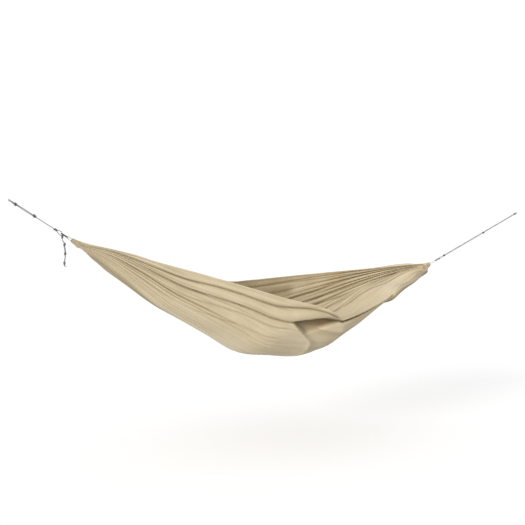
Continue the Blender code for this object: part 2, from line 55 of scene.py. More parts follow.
# Shared with the frame: the two suspension lines, whose run is horizontal and fall vertical
LEFT_TIP = Vector((0.281, 0.0, -0.176))
RIGHT_TIP = LEFT_TIP + Vector((2.300, 0.0, -0.158))
LEFT_ANCHOR = Vector((0.0, 0.0, 0.0))
RIGHT_ANCHOR = Vector((RIGHT_TIP.x + 0.839, 0.0, 0.0))
# The cord's diameter, and the air between pieces that all but touch
CORD = 0.0030
GAP = 0.0003
HOOK_ROD = 0.0040
HOOK_LENGTH = 0.0380
# The length of a bunched end, and the sheet laid flat, across and along
GATHER = 0.040
CLOTH_SIZE: Pair = (1.22, 2.60)
# The width of a wave texture's bands at a scale of 1
WAVE_PERIOD = 0.31416
TURN = 2 * math.pi
UPWARDS = np.array([0.0, 0.0, 1.0])


class Side(Enum):
    """The two ends of the hammock."""

    LEFT = "left"
    RIGHT = "right"


# Half width and half height of each bunched end, at its seam and at its tip
SEAM_HALF = {Side.LEFT: (0.0130, 0.0155), Side.RIGHT: (0.0150, 0.0210)}
TIP_HALF = {Side.LEFT: (0.0070, 0.0078), Side.RIGHT: (0.0078, 0.0120)}


class Edge(Enum):
    """The two long rims of the cloth, with the grid column of each."""

    NEAR = 0
    FAR = -1


class Body(Enum):
    """The bodies of the frame that the pieces ride on."""

    ANCHORS = "anchors"
    HAMMOCK = "hammock"
    TAIL = "left_tail"


# ---------------------------------------------------------------- small helpers


def ease(value: np.ndarray) -> np.ndarray:
    """A smooth step from 0 at 0 to 1 at 1."""
    value = np.clip(value, 0.0, 1.0)
    return value * value * (3 - 2 * value)


def hump(value: np.ndarray, centre: float, width: float) -> np.ndarray:
    """A smooth bump of height 1 at the centre."""
    return np.exp(-(((value - centre) / width) ** 2))


def humps(value: np.ndarray, places: Sequence[Row]) -> np.ndarray:
    """The sum of smooth bumps, each given as its centre, width and height."""
    return sum((tall * hump(value, at, wide) for at, wide, tall in places), np.zeros(value.shape))


def unit(rows: np.ndarray) -> np.ndarray:
    """Vectors scaled to length 1 along the last axis."""
    return rows / np.maximum(np.linalg.norm(rows, axis=-1, keepdims=True), 1e-12)


def linear(code: str) -> tuple[float, float, float, float]:
    """The linear RGBA of an sRGB hex colour.

    Args:
        code: Six hex digits.

    Returns:
        Red, green, blue and an alpha of 1.
    """
    channels = [int(code[i : i + 2], 16) / 255 for i in (0, 2, 4)]
    made = [c / 12.92 if c <= 0.04045 else ((c + 0.055) / 1.055) ** 2.4 for c in channels]
    return (*made, 1.0)


def add_node(
    tree: Any, kind: str, links: dict[Any, Any] | None = None, out: int | str = 0, **settings: Any
) -> Any:
    """Add a shader node with its settings, socket values and links.

    Args:
        tree: The node tree.
        kind: Blender's name of the node.
        links: For each input, by name or index, a value or a socket to link from.
        out: The output that is wanted, by name or index.
        settings: Attributes of the node itself.

    Returns:
        The wanted output socket.
    """
    node = tree.nodes.new(kind)
    for name, value in settings.items():
        setattr(node, name, value)
    for key, value in (links or {}).items():
        if isinstance(value, bpy.types.NodeSocket):
            tree.links.new(value, node.inputs[key])
        else:
            node.inputs[key].default_value = value
    return node.outputs[out]


def start_material(
    name: str, constants: dict[str, Any]
) -> tuple[bpy.types.Material, Any, Any]:
    """Start a material and set the constants of its shader.

    Args:
        name: The material's name.
        constants: Values that are the same all over, by the name of the socket.

    Returns:
        The material, its node tree and its shader node.
    """
    made = bpy.data.materials.new(name)
    made.use_nodes = True
    shader = made.node_tree.nodes["Principled BSDF"]
    for socket, value in constants.items():
        shader.inputs[socket].default_value = value
    return made, made.node_tree, shader


def add_object(name: str, data: Any) -> bpy.types.Object:
    """Put a new object that holds some data in the scene.

    Args:
        name: The object's name.
        data: Its mesh, camera or lamp.

    Returns:
        The object.
    """
    made = bpy.data.objects.new(name, data)
    bpy.context.scene.collection.objects.link(made)
    return made


def shaped_grid(
    name: str, places: np.ndarray, size: Pair, closed: bool = False, capped: bool = False
) -> bpy.types.Object:
    """A grid whose corners are moved to given places, in the row frame.

    Args:
        name: The object's name.
        places: Places of shape (rows, columns, 3).
        size: The size of the flat grid in metres, across and along, for its UV map.
        closed: Whether the last column meets the first, as on a tube.
        capped: Whether the first and last rows are filled.

    Returns:
        The new mesh object.
    """
    down, over = places.shape[0] - 1, places.shape[1] - 1
    work = bmesh.new()
    layer = work.loops.layers.uv.new("UVMap")
    bmesh.ops.create_grid(work, x_segments=over, y_segments=down, size=0.5, calc_uvs=True)
    for vert in work.verts:
        vert.co = places[round((vert.co.y + 0.5) * down), round((vert.co.x + 0.5) * over)]
    for face in work.faces:
        for loop in face.loops:
            loop[layer].uv = (loop[layer].uv[0] * size[0], loop[layer].uv[1] * size[1])
    if closed:
        bmesh.ops.remove_doubles(work, verts=work.verts, dist=1e-6)
    if capped:
        open_edges = [edge for edge in work.edges if edge.is_boundary]
        bmesh.ops.holes_fill(work, edges=open_edges, sides=0)
    if closed:
        bmesh.ops.recalc_face_normals(work, faces=work.faces)
    mesh = bpy.data.meshes.new(name)
    work.to_mesh(mesh)
    work.free()
    mesh.shade_smooth()
    return add_object(name, mesh)


def dress(piece: bpy.types.Object, finish: bpy.types.Material) -> None:
    """Give a piece one finish."""
    piece.data.materials.clear()
    piece.data.materials.append(finish)


def mark_painted_shade(piece: bpy.types.Object, depths: np.ndarray) -> None:
    """Store how dark the painted shade is at each point of a cloth piece, for its finish to read.
    """
    layer = piece.data.attributes.new("crease", "FLOAT", "POINT")
    layer.data.foreach_set("value", depths.astype(np.float32).ravel())


def line_frame(tip: Vector, anchor: Vector) -> Matrix:
    """Frame of one suspension line.

    Args:
        tip: Where the cloth's gathered end stops.
        anchor: The far end of the line.

    Returns:
        The frame, with X from the tip to the anchor and Z upwards.
    """
    along = (anchor - tip).normalized()
    across = Vector((0, math.copysign(1.0, along.x), 0))
    turn = Matrix((along, across, along.cross(across))).transposed().to_4x4()
    return Matrix.Translation(tip) @ turn


LINES = {
    Side.LEFT: line_frame(LEFT_TIP, LEFT_ANCHOR),
    Side.RIGHT: line_frame(RIGHT_TIP, RIGHT_ANCHOR),
}


def in_world(line: Matrix, rows: Iterable[Sequence[float]]) -> np.ndarray:
    """Points of a line's frame, in the row frame."""
    return np.array([tuple(line @ Vector(row)) for row in rows])


def there_and_back(rows: list[Row]) -> list[Row]:
    """A route of the XZ plane whose last point is its turn, and the same route back below."""
    return rows + [(x, y, -z) for x, y, z in reversed(rows[:-1])]


def smooth_route(route: Sequence[Sequence[float]], step: float) -> np.ndarray:
    """Points on a smooth curve through a route's own points, evenly spaced.

    Args:
        route: The points to pass through.
        step: The distance between the new points, in metres.

    Returns:
        The points, with both ends of the route among them.
    """
    knots = np.array([tuple(p) for p in route], float)
    padded = np.vstack([2 * knots[0] - knots[1], knots, 2 * knots[-1] - knots[-2]])
    share = np.linspace(0, 1, 13)[:-1, None]
    spans = []
    for index in range(len(knots) - 1):
        p0, p1, p2, p3 = padded[index : index + 4]
        square = (2 * p0 - 5 * p1 + 4 * p2 - p3) * share**2
        cube = (3 * p1 - p0 - 3 * p2 + p3) * share**3
        spans.append(0.5 * (2 * p1 + (p2 - p0) * share + square + cube))
    dense = np.vstack([*spans, knots[-1:]])
    along = np.concatenate([[0], np.cumsum(np.linalg.norm(np.diff(dense, axis=0), axis=1))])
    even = np.linspace(0, along[-1], max(4, round(along[-1] / step)) + 1)
    return np.stack([np.interp(even, along, dense[:, axis]) for axis in range(3)], axis=1)


def route_length(points: np.ndarray) -> float:
    """The length of a route of points."""
    return float(np.linalg.norm(np.diff(points, axis=0), axis=1).sum())


def carried_sides(points: np.ndarray, first: np.ndarray) -> np.ndarray:
    """Carry a side direction along a route without twisting it.

    Args:
        points: The route.
        first: The side direction at its start.

    Returns:
        A side direction at each point, square to the route.
    """
    tangents = unit(np.gradient(points, axis=0))
    sides = [unit(first - tangents[0] * np.dot(first, tangents[0]))]
    for tangent in tangents[1:]:
        sides.append(unit(sides[-1] - tangent * np.dot(sides[-1], tangent)))
    return np.array(sides)


def tube_places(points: np.ndarray, radius: float, sides: int) -> np.ndarray:
    """Places of a round tube's grid along a route.

    Args:
        points: The route.
        radius: The tube's radius in metres.
        sides: How many flat sides go round it.

    Returns:
        Places of shape (points, sides + 1, 3).
    """
    tangents = unit(np.gradient(points, axis=0))
    start = np.array([0.0, 1.0, 0.0])
    if abs(tangents[0] @ start) > 0.9:
        start = UPWARDS
    normals = carried_sides(points, start)
    others = np.cross(tangents, normals)
    turn = np.linspace(0, TURN, sides + 1)[None, :, None]
    ring = np.cos(turn) * normals[:, None] + np.sin(turn) * others[:, None]
    return points[:, None] + radius * ring


# ---------------------------------------------------------------- finishes


@dataclass(frozen=True)
class PlainWeave:
    """Light plain-woven cotton or nylon cloth: matt, with a fine thread grid."""

    # To the eye: soft mottled beige with faint streaks lengthwise, with painted shade, brown, in
    # the creases.
    # The threads are drawn 2.4 mm apart, four times their real spacing, so that they show.
    # A stitch_at below 0 leaves out the row of stitches.
    name: str = "plain_woven_cloth"
    light: str = "D6C7A8"
    shade: str = "C6B592"
    # The colour of the painted shade in the creases, folds and recess
    crease: str = "7A6647"
    thread: str = "E6DCC4"
    thread_mm: float = 2.4
    mottle_mm: float = 160.0
    streak_mm: float = 14.0
    weave_relief: float = 0.16
    weave_height: float = 0.0004
    streak_relief: float = 0.35
    streak_height: float = 0.003
    stitch_at: float = -1.0
    stitch_axes: tuple[int, int] = (0, 1)
    stitch_half: float = 0.0006
    stitch_pace: float = 0.0045
    stitch_share: float = 0.62

    def build(self) -> bpy.types.Material:
        """Make the cloth's material.

        Returns:
            The material, which reads the piece's UV map in metres.
        """
        constants = {
            "Roughness": 0.86,
            "Sheen Weight": 0.18,
            "Sheen Roughness": 0.5,
            "Specular IOR Level": 0.25,
        }
        made, tree, shader = start_material(self.name, constants)
        where = add_node(tree, "ShaderNodeUVMap", uv_map="UVMap")
        scale = WAVE_PERIOD / (self.thread_mm / 1000)
        bands = {"Vector": where, "Scale": scale, "Distortion": 0.6, "Detail Scale": 0.4}
        warp, weft = (
            add_node(tree, "ShaderNodeTexWave", bands, "Fac", bands_direction=way) for way in "XY"
        )
        woven = add_node(tree, "ShaderNodeMath", {0: warp, 1: weft}, operation="MULTIPLY")
        clouds = {"Vector": where, "Scale": 1000 / self.mottle_mm, "Detail": 3.0}
        mottle = add_node(tree, "ShaderNodeTexNoise", clouds, "Fac")
        drawn_out = add_node(tree, "ShaderNodeMapping", {"Vector": where, "Scale": (1, 0.05, 1)})
        lines = {"Vector": drawn_out, "Scale": 1000 / self.streak_mm, "Detail": 2.0}
        streaks = add_node(tree, "ShaderNodeTexNoise", lines, "Fac")
        tone = add_node(tree, "ShaderNodeMath", {0: mottle, 1: streaks}, operation="ADD")
        spread = {"Value": tone, "From Min": 0.75, "From Max": 1.3}
        share = add_node(tree, "ShaderNodeMapRange", spread)
        tones = {0: share, 6: linear(self.light), 7: linear(self.shade)}
        ground = add_node(tree, "ShaderNodeMix", tones, 2, data_type="RGBA")
        spread = {"Value": woven, "To Min": 0.90, "To Max": 1.04}
        threads = {0: ground, "Scale": add_node(tree, "ShaderNodeMapRange", spread)}
        grain = add_node(tree, "ShaderNodeVectorMath", threads, operation="SCALE")
        # Painted shade: the crease attribute pulls the colour towards the crease colour
        depth = add_node(tree, "ShaderNodeAttribute", None, "Fac", attribute_name="crease")
        tones = {0: depth, 6: grain, 7: linear(self.crease)}
        colour = add_node(tree, "ShaderNodeMix", tones, 2, data_type="RGBA")
        # The relief fades towards the gathered ends, where the cloth is bunched tight
        along = add_node(tree, "ShaderNodeSeparateXYZ", {0: where}, 1)
        fold_back = {0: along, 1: CLOTH_SIZE[1] / 2}
        inwards = add_node(tree, "ShaderNodeMath", fold_back, operation="PINGPONG")
        normal = {}
        for height, most, tall in (
            (woven, self.weave_relief, self.weave_height),
            (streaks, self.streak_relief, self.streak_height),
        ):
            spread = {"Value": inwards, "From Min": 0.05, "From Max": 0.75, "To Max": most}
            strength = add_node(tree, "ShaderNodeMapRange", spread)
            raised = {"Height": height, "Strength": strength, "Distance": tall, **normal}
            normal = {"Normal": add_node(tree, "ShaderNodeBump", raised)}
        if self.stitch_at >= 0:
            colour = self.stitched(tree, where, colour)
        tree.links.new(colour, shader.inputs["Base Color"])
        tree.links.new(normal["Normal"], shader.inputs["Normal"])
        return made

    def stitched(self, tree: Any, where: Any, ground: Any) -> Any:
        """Draw a row of paler running stitches over the cloth's colour.

        Args:
            tree: The material's node tree.
            where: The UV socket, in metres.
            ground: The socket of the cloth's colour.

        Returns:
            The socket of the colour with its stitches.
        """
        split = add_node(tree, "ShaderNodeSeparateXYZ", {0: where}).node.outputs
        pace = 1 / self.stitch_pace
        row = (("SUBTRACT", self.stitch_at), ("ABSOLUTE", 0.0), ("LESS_THAN", self.stitch_half))
        dash = (("MULTIPLY", pace), ("FRACT", 0.0), ("LESS_THAN", self.stitch_share))
        # There is thread where a point is both near the row and in the first part of a pace
        near = []
        for axis, steps in zip(self.stitch_axes, (row, dash)):
            value = split[axis]
            for operation, number in steps:
                value = add_node(tree, "ShaderNodeMath", {0: value, 1: number}, operation=operation)
            near.append(value)
        shown = add_node(tree, "ShaderNodeMath", dict(enumerate(near)), operation="MULTIPLY")
        tones = {0: shown, 6: ground, 7: linear(self.thread)}
        return add_node(tree, "ShaderNodeMix", tones, 2, data_type="RGBA")


@dataclass(frozen=True)
class BraidedCord:
    """Braided polyester cord."""

    # To the eye: small diagonal plaits, 3.2 mm long, with a painted highlight on their crowns and
    # painted shade between them
    name: str
    ground: str
    crown: str
    plait_mm: float = 3.2
    plaits_round: int = 4

    def build(self) -> bpy.types.Material:
        """Make the cord's material.

        Returns:
            The material, whose UV map runs once round the cord and along it in metres.
        """
        constants = {"Roughness": 0.72, "Specular IOR Level": 0.35}
        made, tree, shader = start_material(self.name, constants)
        where = add_node(tree, "ShaderNodeUVMap", uv_map="UVMap")
        split = add_node(tree, "ShaderNodeSeparateXYZ", {0: where}).node.outputs
        turns, along = (
            add_node(tree, "ShaderNodeMath", {0: split[axis], 1: pace}, operation="MULTIPLY")
            for axis, pace in enumerate((TURN * self.plaits_round, TURN / (self.plait_mm / 1000)))
        )
        # Two sets of plaits wind round the cord, one each way
        waves = []
        for way in ("ADD", "SUBTRACT"):
            phase = add_node(tree, "ShaderNodeMath", {0: turns, 1: along}, operation=way)
            waves.append(add_node(tree, "ShaderNodeMath", {0: phase}, operation="SINE"))
        crown = add_node(tree, "ShaderNodeMath", dict(enumerate(waves)), operation="MAXIMUM")
        height = add_node(tree, "ShaderNodeMapRange", {"Value": crown, "From Min": -0.4})
        # Painted highlight and shade: the crowns take the crown colour, the grooves the ground
        # colour
        tones = {0: height, 6: linear(self.ground), 7: linear(self.crown)}
        colour = add_node(tree, "ShaderNodeMix", tones, 2, data_type="RGBA")
        raised = {"Height": height, "Strength": 0.6, "Distance": 0.0005}
        tree.links.new(colour, shader.inputs["Base Color"])
        tree.links.new(add_node(tree, "ShaderNodeBump", raised), shader.inputs["Normal"])
        return made


@dataclass(frozen=True)
class WorkedMetal:
    """Anodised aluminium or satin steel."""

    # To the eye: a fine grain that softens reflections, and small patches rubbed paler
    name: str
    colour: str
    rubbed: str
    roughness: float
    grain_mm: float = 0.6
    patch_mm: float = 7.0

    def build(self) -> bpy.types.Material:
        """Make the metal's material.

        Returns:
            The material, on Object coordinates.
        """
        made, tree, shader = start_material(self.name, {"Metallic": 1.0})
        where = add_node(tree, "ShaderNodeTexCoord", None, "Object")
        clouds = {"Vector": where, "Scale": 1000 / self.patch_mm, "Detail": 3.0}
        patch = add_node(tree, "ShaderNodeTexNoise", clouds, "Fac")
        spread = {"Value": patch, "From Min": 0.52, "From Max": 0.72}
        worn = add_node(tree, "ShaderNodeMapRange", spread)
        tones = {0: worn, 6: linear(self.colour), 7: linear(self.rubbed)}
        colour = add_node(tree, "ShaderNodeMix", tones, 2, data_type="RGBA")
        specks = {"Vector": where, "Scale": 1000 / self.grain_mm}
        grain = add_node(tree, "ShaderNodeTexNoise", specks, "Fac")
        spread = {"Value": grain, "To Min": self.roughness - 0.06, "To Max": self.roughness + 0.08}
        rough = add_node(tree, "ShaderNodeMapRange", spread)
        raised = {"Height": grain, "Strength": 0.12, "Distance": 0.0001}
        tree.links.new(colour, shader.inputs["Base Color"])
        tree.links.new(rough, shader.inputs["Roughness"])
        tree.links.new(add_node(tree, "ShaderNodeBump", raised), shader.inputs["Normal"])
        return made


@dataclass(frozen=True)
class Finishes:
    """Every finish of the hammock, each made once."""

    cloth: bpy.types.Material
    hem: bpy.types.Material
    channel: bpy.types.Material
    dark_cord: bpy.types.Material
    pale_cord: bpy.types.Material
    anodised: bpy.types.Material
    steel: bpy.types.Material

    @classmethod
    def make(cls) -> "Finishes":
        """Build the whole set.

        Returns:
            The finishes.
        """
        return cls(
            cloth=PlainWeave().build(),
            hem=PlainWeave(
                name="hem_cloth", light="D2C2A2", shade="C0AD8A", streak_mm=5.0, stitch_at=0.0045
            ).build(),
            channel=PlainWeave(
                name="channel_cloth", streak_mm=5.0, stitch_at=0.0100, stitch_axes=(1, 0)
            ).build(),
            dark_cord=BraidedCord("dark_braided_cord", "464D4C", "8B928F").build(),
            pale_cord=BraidedCord("pale_braided_cord", "A9B0AE", "DDE2E0").build(),
            anodised=WorkedMetal("anodised_aluminium", "3A4042", "6F7677", 0.36).build(),
            steel=WorkedMetal("satin_steel", "A8A8A6", "C4C4C2", 0.30).build(),
        )


# ---------------------------------------------------------------- cords


@dataclass
class OverhandKnot:
    """An overhand knot tied in the doubled cord: a trefoil opened at one lobe."""

    lobe: float = 0.0026
    squeeze: float = 0.62
    depth: float = 0.0027
    half: float = 0.0100
    overlap: float = 0.35
    axis_lift: float = 0.7
    # How the cord runs in from the axis, in shares of the half length and of the height
    # and depth at which the trefoil starts
    lead_in: tuple[Row, ...] = (
        (1.0, 0.0, 0.0), (0.78, 0.10, 0.12), (0.42, 0.62, 0.72), (0.08, 0.98, 1.02),
    )

    def route(self, share: float = 1.0) -> list[Vector]:
        """Centre line along X about the origin, with both ends on the axis.

        Args:
            share: The knot's size, as a share of its full size.

        Returns:
            The points, from -X to +X.
        """
        points = []
        for t in np.linspace(math.pi + self.overlap, 3 * math.pi - self.overlap, 27):
            wave = math.sin(3 * t)
            x = self.lobe * (math.sin(t) + 2 * math.sin(2 * t))
            y = self.squeeze * (math.cos(t) - 2 * math.cos(2 * t) + self.axis_lift)
            z = -self.depth * math.copysign(abs(wave) ** 0.5, wave)
            points.append(Vector((x, y * self.lobe, z)) * share)
        enter, half = points[0], self.half * share
        lead = [Vector((-half * x, enter.y * y, enter.z * z)) for x, y, z in self.lead_in]
        trail = [Vector((-p.x, p.y, -p.z)) for p in reversed(lead)]
        return lead + points + trail

    def placed(self, centre: Vector, heading: Vector, lean: float, share: float) -> list[Vector]:
        """The knot's route at a place of a line's frame.

        Args:
            centre: The knot's middle.
            heading: The way the cord runs through it.
            lean: How far the knot is turned about that, in degrees.
            share: The knot's size, as a share of its full size.

        Returns:
            The points.
        """
        turn = Vector((1, 0, 0)).rotation_difference(heading.normalized()).to_matrix().to_4x4()
        place = Matrix.Translation(centre) @ turn @ Matrix.Rotation(math.radians(lean), 4, "X")
        return [place @ point for point in self.route(share)]


@dataclass
class CordPair:
    """Two strands of cord that run side by side along one middle line.

    They bow apart a little at every ripple, and close up where the line bends.
    """

    middle: np.ndarray
    end_side: np.ndarray
    spread: float = CORD + GAP
    bow: float = 0.0010
    ripple: float = 0.085
    closing: float = 40.0

    def strands(self) -> tuple[np.ndarray, np.ndarray]:
        """The two strands, the first of which ends on end_side.

        Returns:
            Two arrays of points.
        """
        carried = carried_sides(self.middle, np.array([0.0, 0.3, 1.0]))
        tangent = unit(self.middle[-1] - self.middle[-2])
        want = unit(self.end_side - tangent * (self.end_side @ tangent))
        other = np.cross(tangent, carried[-1])
        angle = math.atan2(want @ other, want @ carried[-1])
        tangents = unit(np.gradient(self.middle, axis=0))
        sides = carried * math.cos(angle) + np.cross(tangents, carried) * math.sin(angle)
        steps = np.linalg.norm(np.diff(self.middle, axis=0), axis=1)
        along = np.concatenate([[0.0], np.cumsum(steps)])
        calm = np.exp(-np.linalg.norm(np.gradient(tangents, axis=0), axis=1) * self.closing)
        apart = self.spread / 2 + self.bow * calm * np.sin(math.pi * along / self.ripple) ** 2
        return self.middle + sides * apart[:, None], self.middle - sides * apart[:, None]


@dataclass
class Suspension:
    """The cords of both ends: strands, knots, bights and the tail."""

    finishes: Finishes
    left_knots: Row = (0.087, 0.198, 0.297)
    right_knots: Row = (0.140, 0.536, 0.880)
    left_hook_reach: float = 0.020
    right_hook_reach: float = 0.056
    # How far the legs of each anchor's eye reach into the last knot
    left_stub: float = 0.0010
    right_stub: float = 0.0035
    eye_gap: float = 0.0005
    eye_belly: float = 0.0023
    tail_knots: Row = (0.0215, 0.0615, 0.1055)
    tail_sway: Row = (0.0085, 0.0125, 0.0085)
    tail_knot_share: float = 0.86
    end_loop_half: float = 0.0050
    end_loop_depth: float = 0.0260
    knot_half: float = 0.0095
    step: float = 0.0016
    sides: int = 10
    knot: OverhandKnot = field(default_factory=OverhandKnot)
    made: list[str] = field(default_factory=list)

    def add_cord(
        self,
        name: str,
        line: Matrix,
        route: Sequence[Sequence[float]],
        nodes: Sequence[str],
        body: Body = Body.HAMMOCK,
        pale: bool = False,
    ) -> None:
        """Make one declared cord along a smooth curve.

        Args:
            name: The piece's name.
            line: The frame of its route.
            route: The points that its centre line passes through.
            nodes: The CAD nodes that it stands for.
            body: The body that it rides on.
            pale: Whether it is the pale cord of an end loop.
        """
        points = in_world(line, smooth_route(route, self.step))
        length = route_length(points)
        places = tube_places(points, CORD / 2, self.sides)
        piece = shaped_grid(name, places, (1.0, length), closed=True, capped=True)
        dress(piece, self.finishes.pale_cord if pale else self.finishes.dark_cord)
        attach(piece, body.value)
        if nodes:
            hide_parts(*nodes)
        self.made.append(f"{name} {length:.3f} m")

    def line_middle(self, knots: Sequence[Pair], end: float) -> list[Vector]:
        """Middle line of a doubled line in its frame, from the last knot towards the tip.

        Args:
            knots: Place and lean of each knot, from the anchor to the tip.
            end: Where the doubled run ends, along X.

        Returns:
            The route's points.
        """
        route: list[Vector] = []
        for place, lean in knots:
            if route:
                start, stop = route[-1], Vector((place + self.knot.half, 0, 0))
                route += [start.lerp(stop, share) for share in (0.25, 0.5, 0.75)]
            route += self.knot.placed(Vector((place, 0, 0)), Vector((-1, 0, 0)), lean, 1.0)
        if route[-1].x - end > 0.004:
            route.append(Vector((end, 0, 0)))
        return route

    def anchor_eye(self, side: Side, knot: float, end: float, stub: float) -> None:
        """The bight at the far end of a line, which the anchor holds.

        Args:
            side: Which line.
            knot: The place of the last knot, along the line.
            end: The far end of the line.
            stub: How far the two legs reach into the knot.
        """
        start = knot + self.knot_half + self.eye_gap
        half = CORD / 2 + GAP / 2
        belly = min(self.eye_belly, (end - start) * 0.28)
        route: list[Row] = [
            (start - stub, 0, half),
            (start + 0.0010, 0, half),
            (start + (end - start) * 0.35, 0, (half + belly) / 2),
            (end - CORD / 2 - belly, 0, belly),
            (end - CORD / 2 - belly * 0.3, 0, belly * 0.72),
            (end - CORD / 2, 0, 0),
        ]
        name = f"{side.value}_anchor_eye"
        route = there_and_back(route)
        self.add_cord(f"{name}_cord", LINES[side], route, [name], Body.ANCHORS)

    def left_line(self) -> None:
        """The left line: three knots in line, the open loop that holds the hook, a knot."""
        line = LINES[Side.LEFT]
        first, second, third = self.left_knots
        begin = first - self.knot_half - GAP
        route = self.line_middle([(third, 160), (second, 20), (first, 95)], begin)
        pair = CordPair(smooth_route(route, self.step), UPWARDS)
        down = line.to_3x3().inverted() @ Vector((0, 0, -1))
        rod = self.left_hook_reach + HOOK_LENGTH - HOOK_ROD / 2
        join = Vector((rod - 0.0100, 0, -0.0062))
        beside = Vector((-down.z, 0, down.x)) * (CORD / 2 + GAP / 2)
        near_rod = HOOK_ROD / 2 + CORD / 2 + GAP
        # The upper strand passes over the rod and the lower one hangs below it, to the join
        loops = {
            "upper": [
                (begin - 0.0060, 0, 0.0050),
                (rod + 0.0050, 0, 0.0072),
                (rod - 0.0006, 0, near_rod + 0.0010),
                (rod - near_rod - 0.0006, 0, 0.0010),
                tuple(join - down * 0.0024 - beside),
            ],
            "lower": [
                (begin - 0.0060, 0, -0.0056),
                (rod + 0.0050, 0, -0.0088),
                (rod - 0.0030, 0, -0.0088),
                tuple(join - down * 0.0020 + beside),
            ],
        }
        top = join + down * (2 * self.knot_half + GAP)
        knot_route = self.knot.placed(join + down * 0.0045, down, 90, 0.9)
        knot_route += [knot_route[-1].lerp(top, 0.6), top + down * 0.0008]
        flipped = CordPair(smooth_route(knot_route[::-1], self.step), -np.array(beside))
        ending = [strand[::-1] for strand in flipped.strands()]
        for name, strand, tail in zip(loops, pair.strands(), ending):
            whole = [*strand[:-2], *loops[name], *tail[3:]]
            nodes = [f"left_cord_1_{name}", f"left_cord_2_{name}", f"left_hook_loop_{name}"]
            if name == "upper":
                nodes += [f"left_knot_{n}" for n in (1, 2, 3, 4)]
            self.add_cord(f"left_line_{name}_cord", line, whole, nodes)
        self.tail(line @ top)

    def tail(self, top: Vector) -> None:
        """The doubled tail with three knots that hangs straight down below the left hook.

        Args:
            top: Where it leaves the fourth knot, which is its pivot.
        """
        hang = Matrix.Translation(top) @ Matrix.Rotation(math.pi / 2, 4, "Y")
        share = self.tail_knot_share
        route = [Vector((-0.0010, 0, 0)), Vector((0.0020, 0, 0.0006))]
        for index, (place, sway) in enumerate(zip(self.tail_knots, self.tail_sway), start=1):
            centre = Vector((place, 0, sway))
            if index > 1:
                middle = route[-1].lerp(centre - Vector((self.knot.half * share, 0, 0)), 0.5)
                route.append(middle + Vector((0, 0.0008, 0.0012)))
            route += self.knot.placed(centre, Vector((1, 0, 0)), 40 + 110 * index, share)
        last = route[-1]
        pair = CordPair(smooth_route(route, self.step), UPWARDS, bow=0.0014)
        stubs = (
            [(0.0030, 0, 0.0010), (0.0050, 0, 0.0046), (0.0056, 0, 0.0106)],
            [(0.0020, 0, -0.0010), (0.0046, 0.0010, -0.0016)],
        )
        nodes = [f"left_tail_{part}_{n}" for part in ("cord", "knot") for n in (1, 2, 3)]
        replaced = {"front": [*nodes, "left_tail_stub"], "back": []}
        for name, strand, stub in zip(replaced, pair.strands(), stubs):
            whole = [*strand[:-1], *(last + Vector(point) for point in stub)]
            piece = f"left_tail_{name}_cord"
            self.add_cord(piece, hang, whole, replaced[name], Body.TAIL)

    def right_line(self) -> None:
        """The right line: one cord from the last knot round the hook and back to it."""
        first, second, third = self.right_knots
        rod = self.right_hook_reach + HOOK_LENGTH - HOOK_ROD / 2
        near_rod = HOOK_ROD / 2 + CORD / 2 + GAP * 1.5
        begin = first - self.knot_half - GAP
        route = self.line_middle([(third, 80), (second, 200), (first, 15)], begin)
        upper, lower = CordPair(smooth_route(route, self.step), UPWARDS).strands()
        bight: list[Row] = [
            ((begin + rod) / 2, 0, 0.0036),
            (rod + 0.0040, 0, near_rod + 0.0008),
            (rod - 0.0014, 0, near_rod + 0.0001),
            (rod - near_rod, 0, 0),
        ]
        whole = [*upper[:-2], *there_and_back(bight), *lower[-3::-1]]
        nodes = ["right_hook_bight", "right_knot_1", "right_knot_2", "right_knot_3"]
        nodes += [f"right_cord_{n}_{level}" for n in (1, 2) for level in ("upper", "lower")]
        self.add_cord("right_line_cord", LINES[Side.RIGHT], whole, nodes)

    def end_loop(self, side: Side, reach: float) -> None:
        """The pale loop of cord that comes out of a gathered end and holds the hook.

        Args:
            side: Which end.
            reach: Where the hook begins, along the line.
        """
        bow = reach + HOOK_ROD / 2
        turn = HOOK_ROD / 2 + CORD / 2 + GAP * 1.5
        half, deep = self.end_loop_half, -self.end_loop_depth
        upper: list[Row] = [
            (deep * 0.92, 0, half * 0.72),
            (deep * 0.6, 0, half),
            (0.0, 0, half),
            (0.55 * bow, 0, (half + turn) / 2),
            (bow - turn * 0.35, 0, turn * 1.02),
            (bow + turn * 0.64, 0, turn * 0.80),
            (bow + turn, 0, 0),
        ]
        name, route = f"{side.value}_end_loop", there_and_back(upper)
        self.add_cord(f"{name}_cord", LINES[side], route, [name], pale=True)

    def build(self) -> list[str]:
        """Make every cord.

        Returns:
            The name and length of each.
        """
        self.left_line()
        self.right_line()
        left_end = (LEFT_ANCHOR - LEFT_TIP).length
        right_end = (RIGHT_ANCHOR - RIGHT_TIP).length
        self.anchor_eye(Side.LEFT, self.left_knots[2], left_end, self.left_stub)
        self.anchor_eye(Side.RIGHT, self.right_knots[2], right_end, self.right_stub)
        self.end_loop(Side.LEFT, self.left_hook_reach)
        self.end_loop(Side.RIGHT, self.right_hook_reach)
        return self.made


# ---------------------------------------------------------------- cloth
#
# A place on the sheet is (u, v): u runs from 0 at the left gathered end to 1 at the right,
# and v from 0 at the near rim to 1 at the far rim.


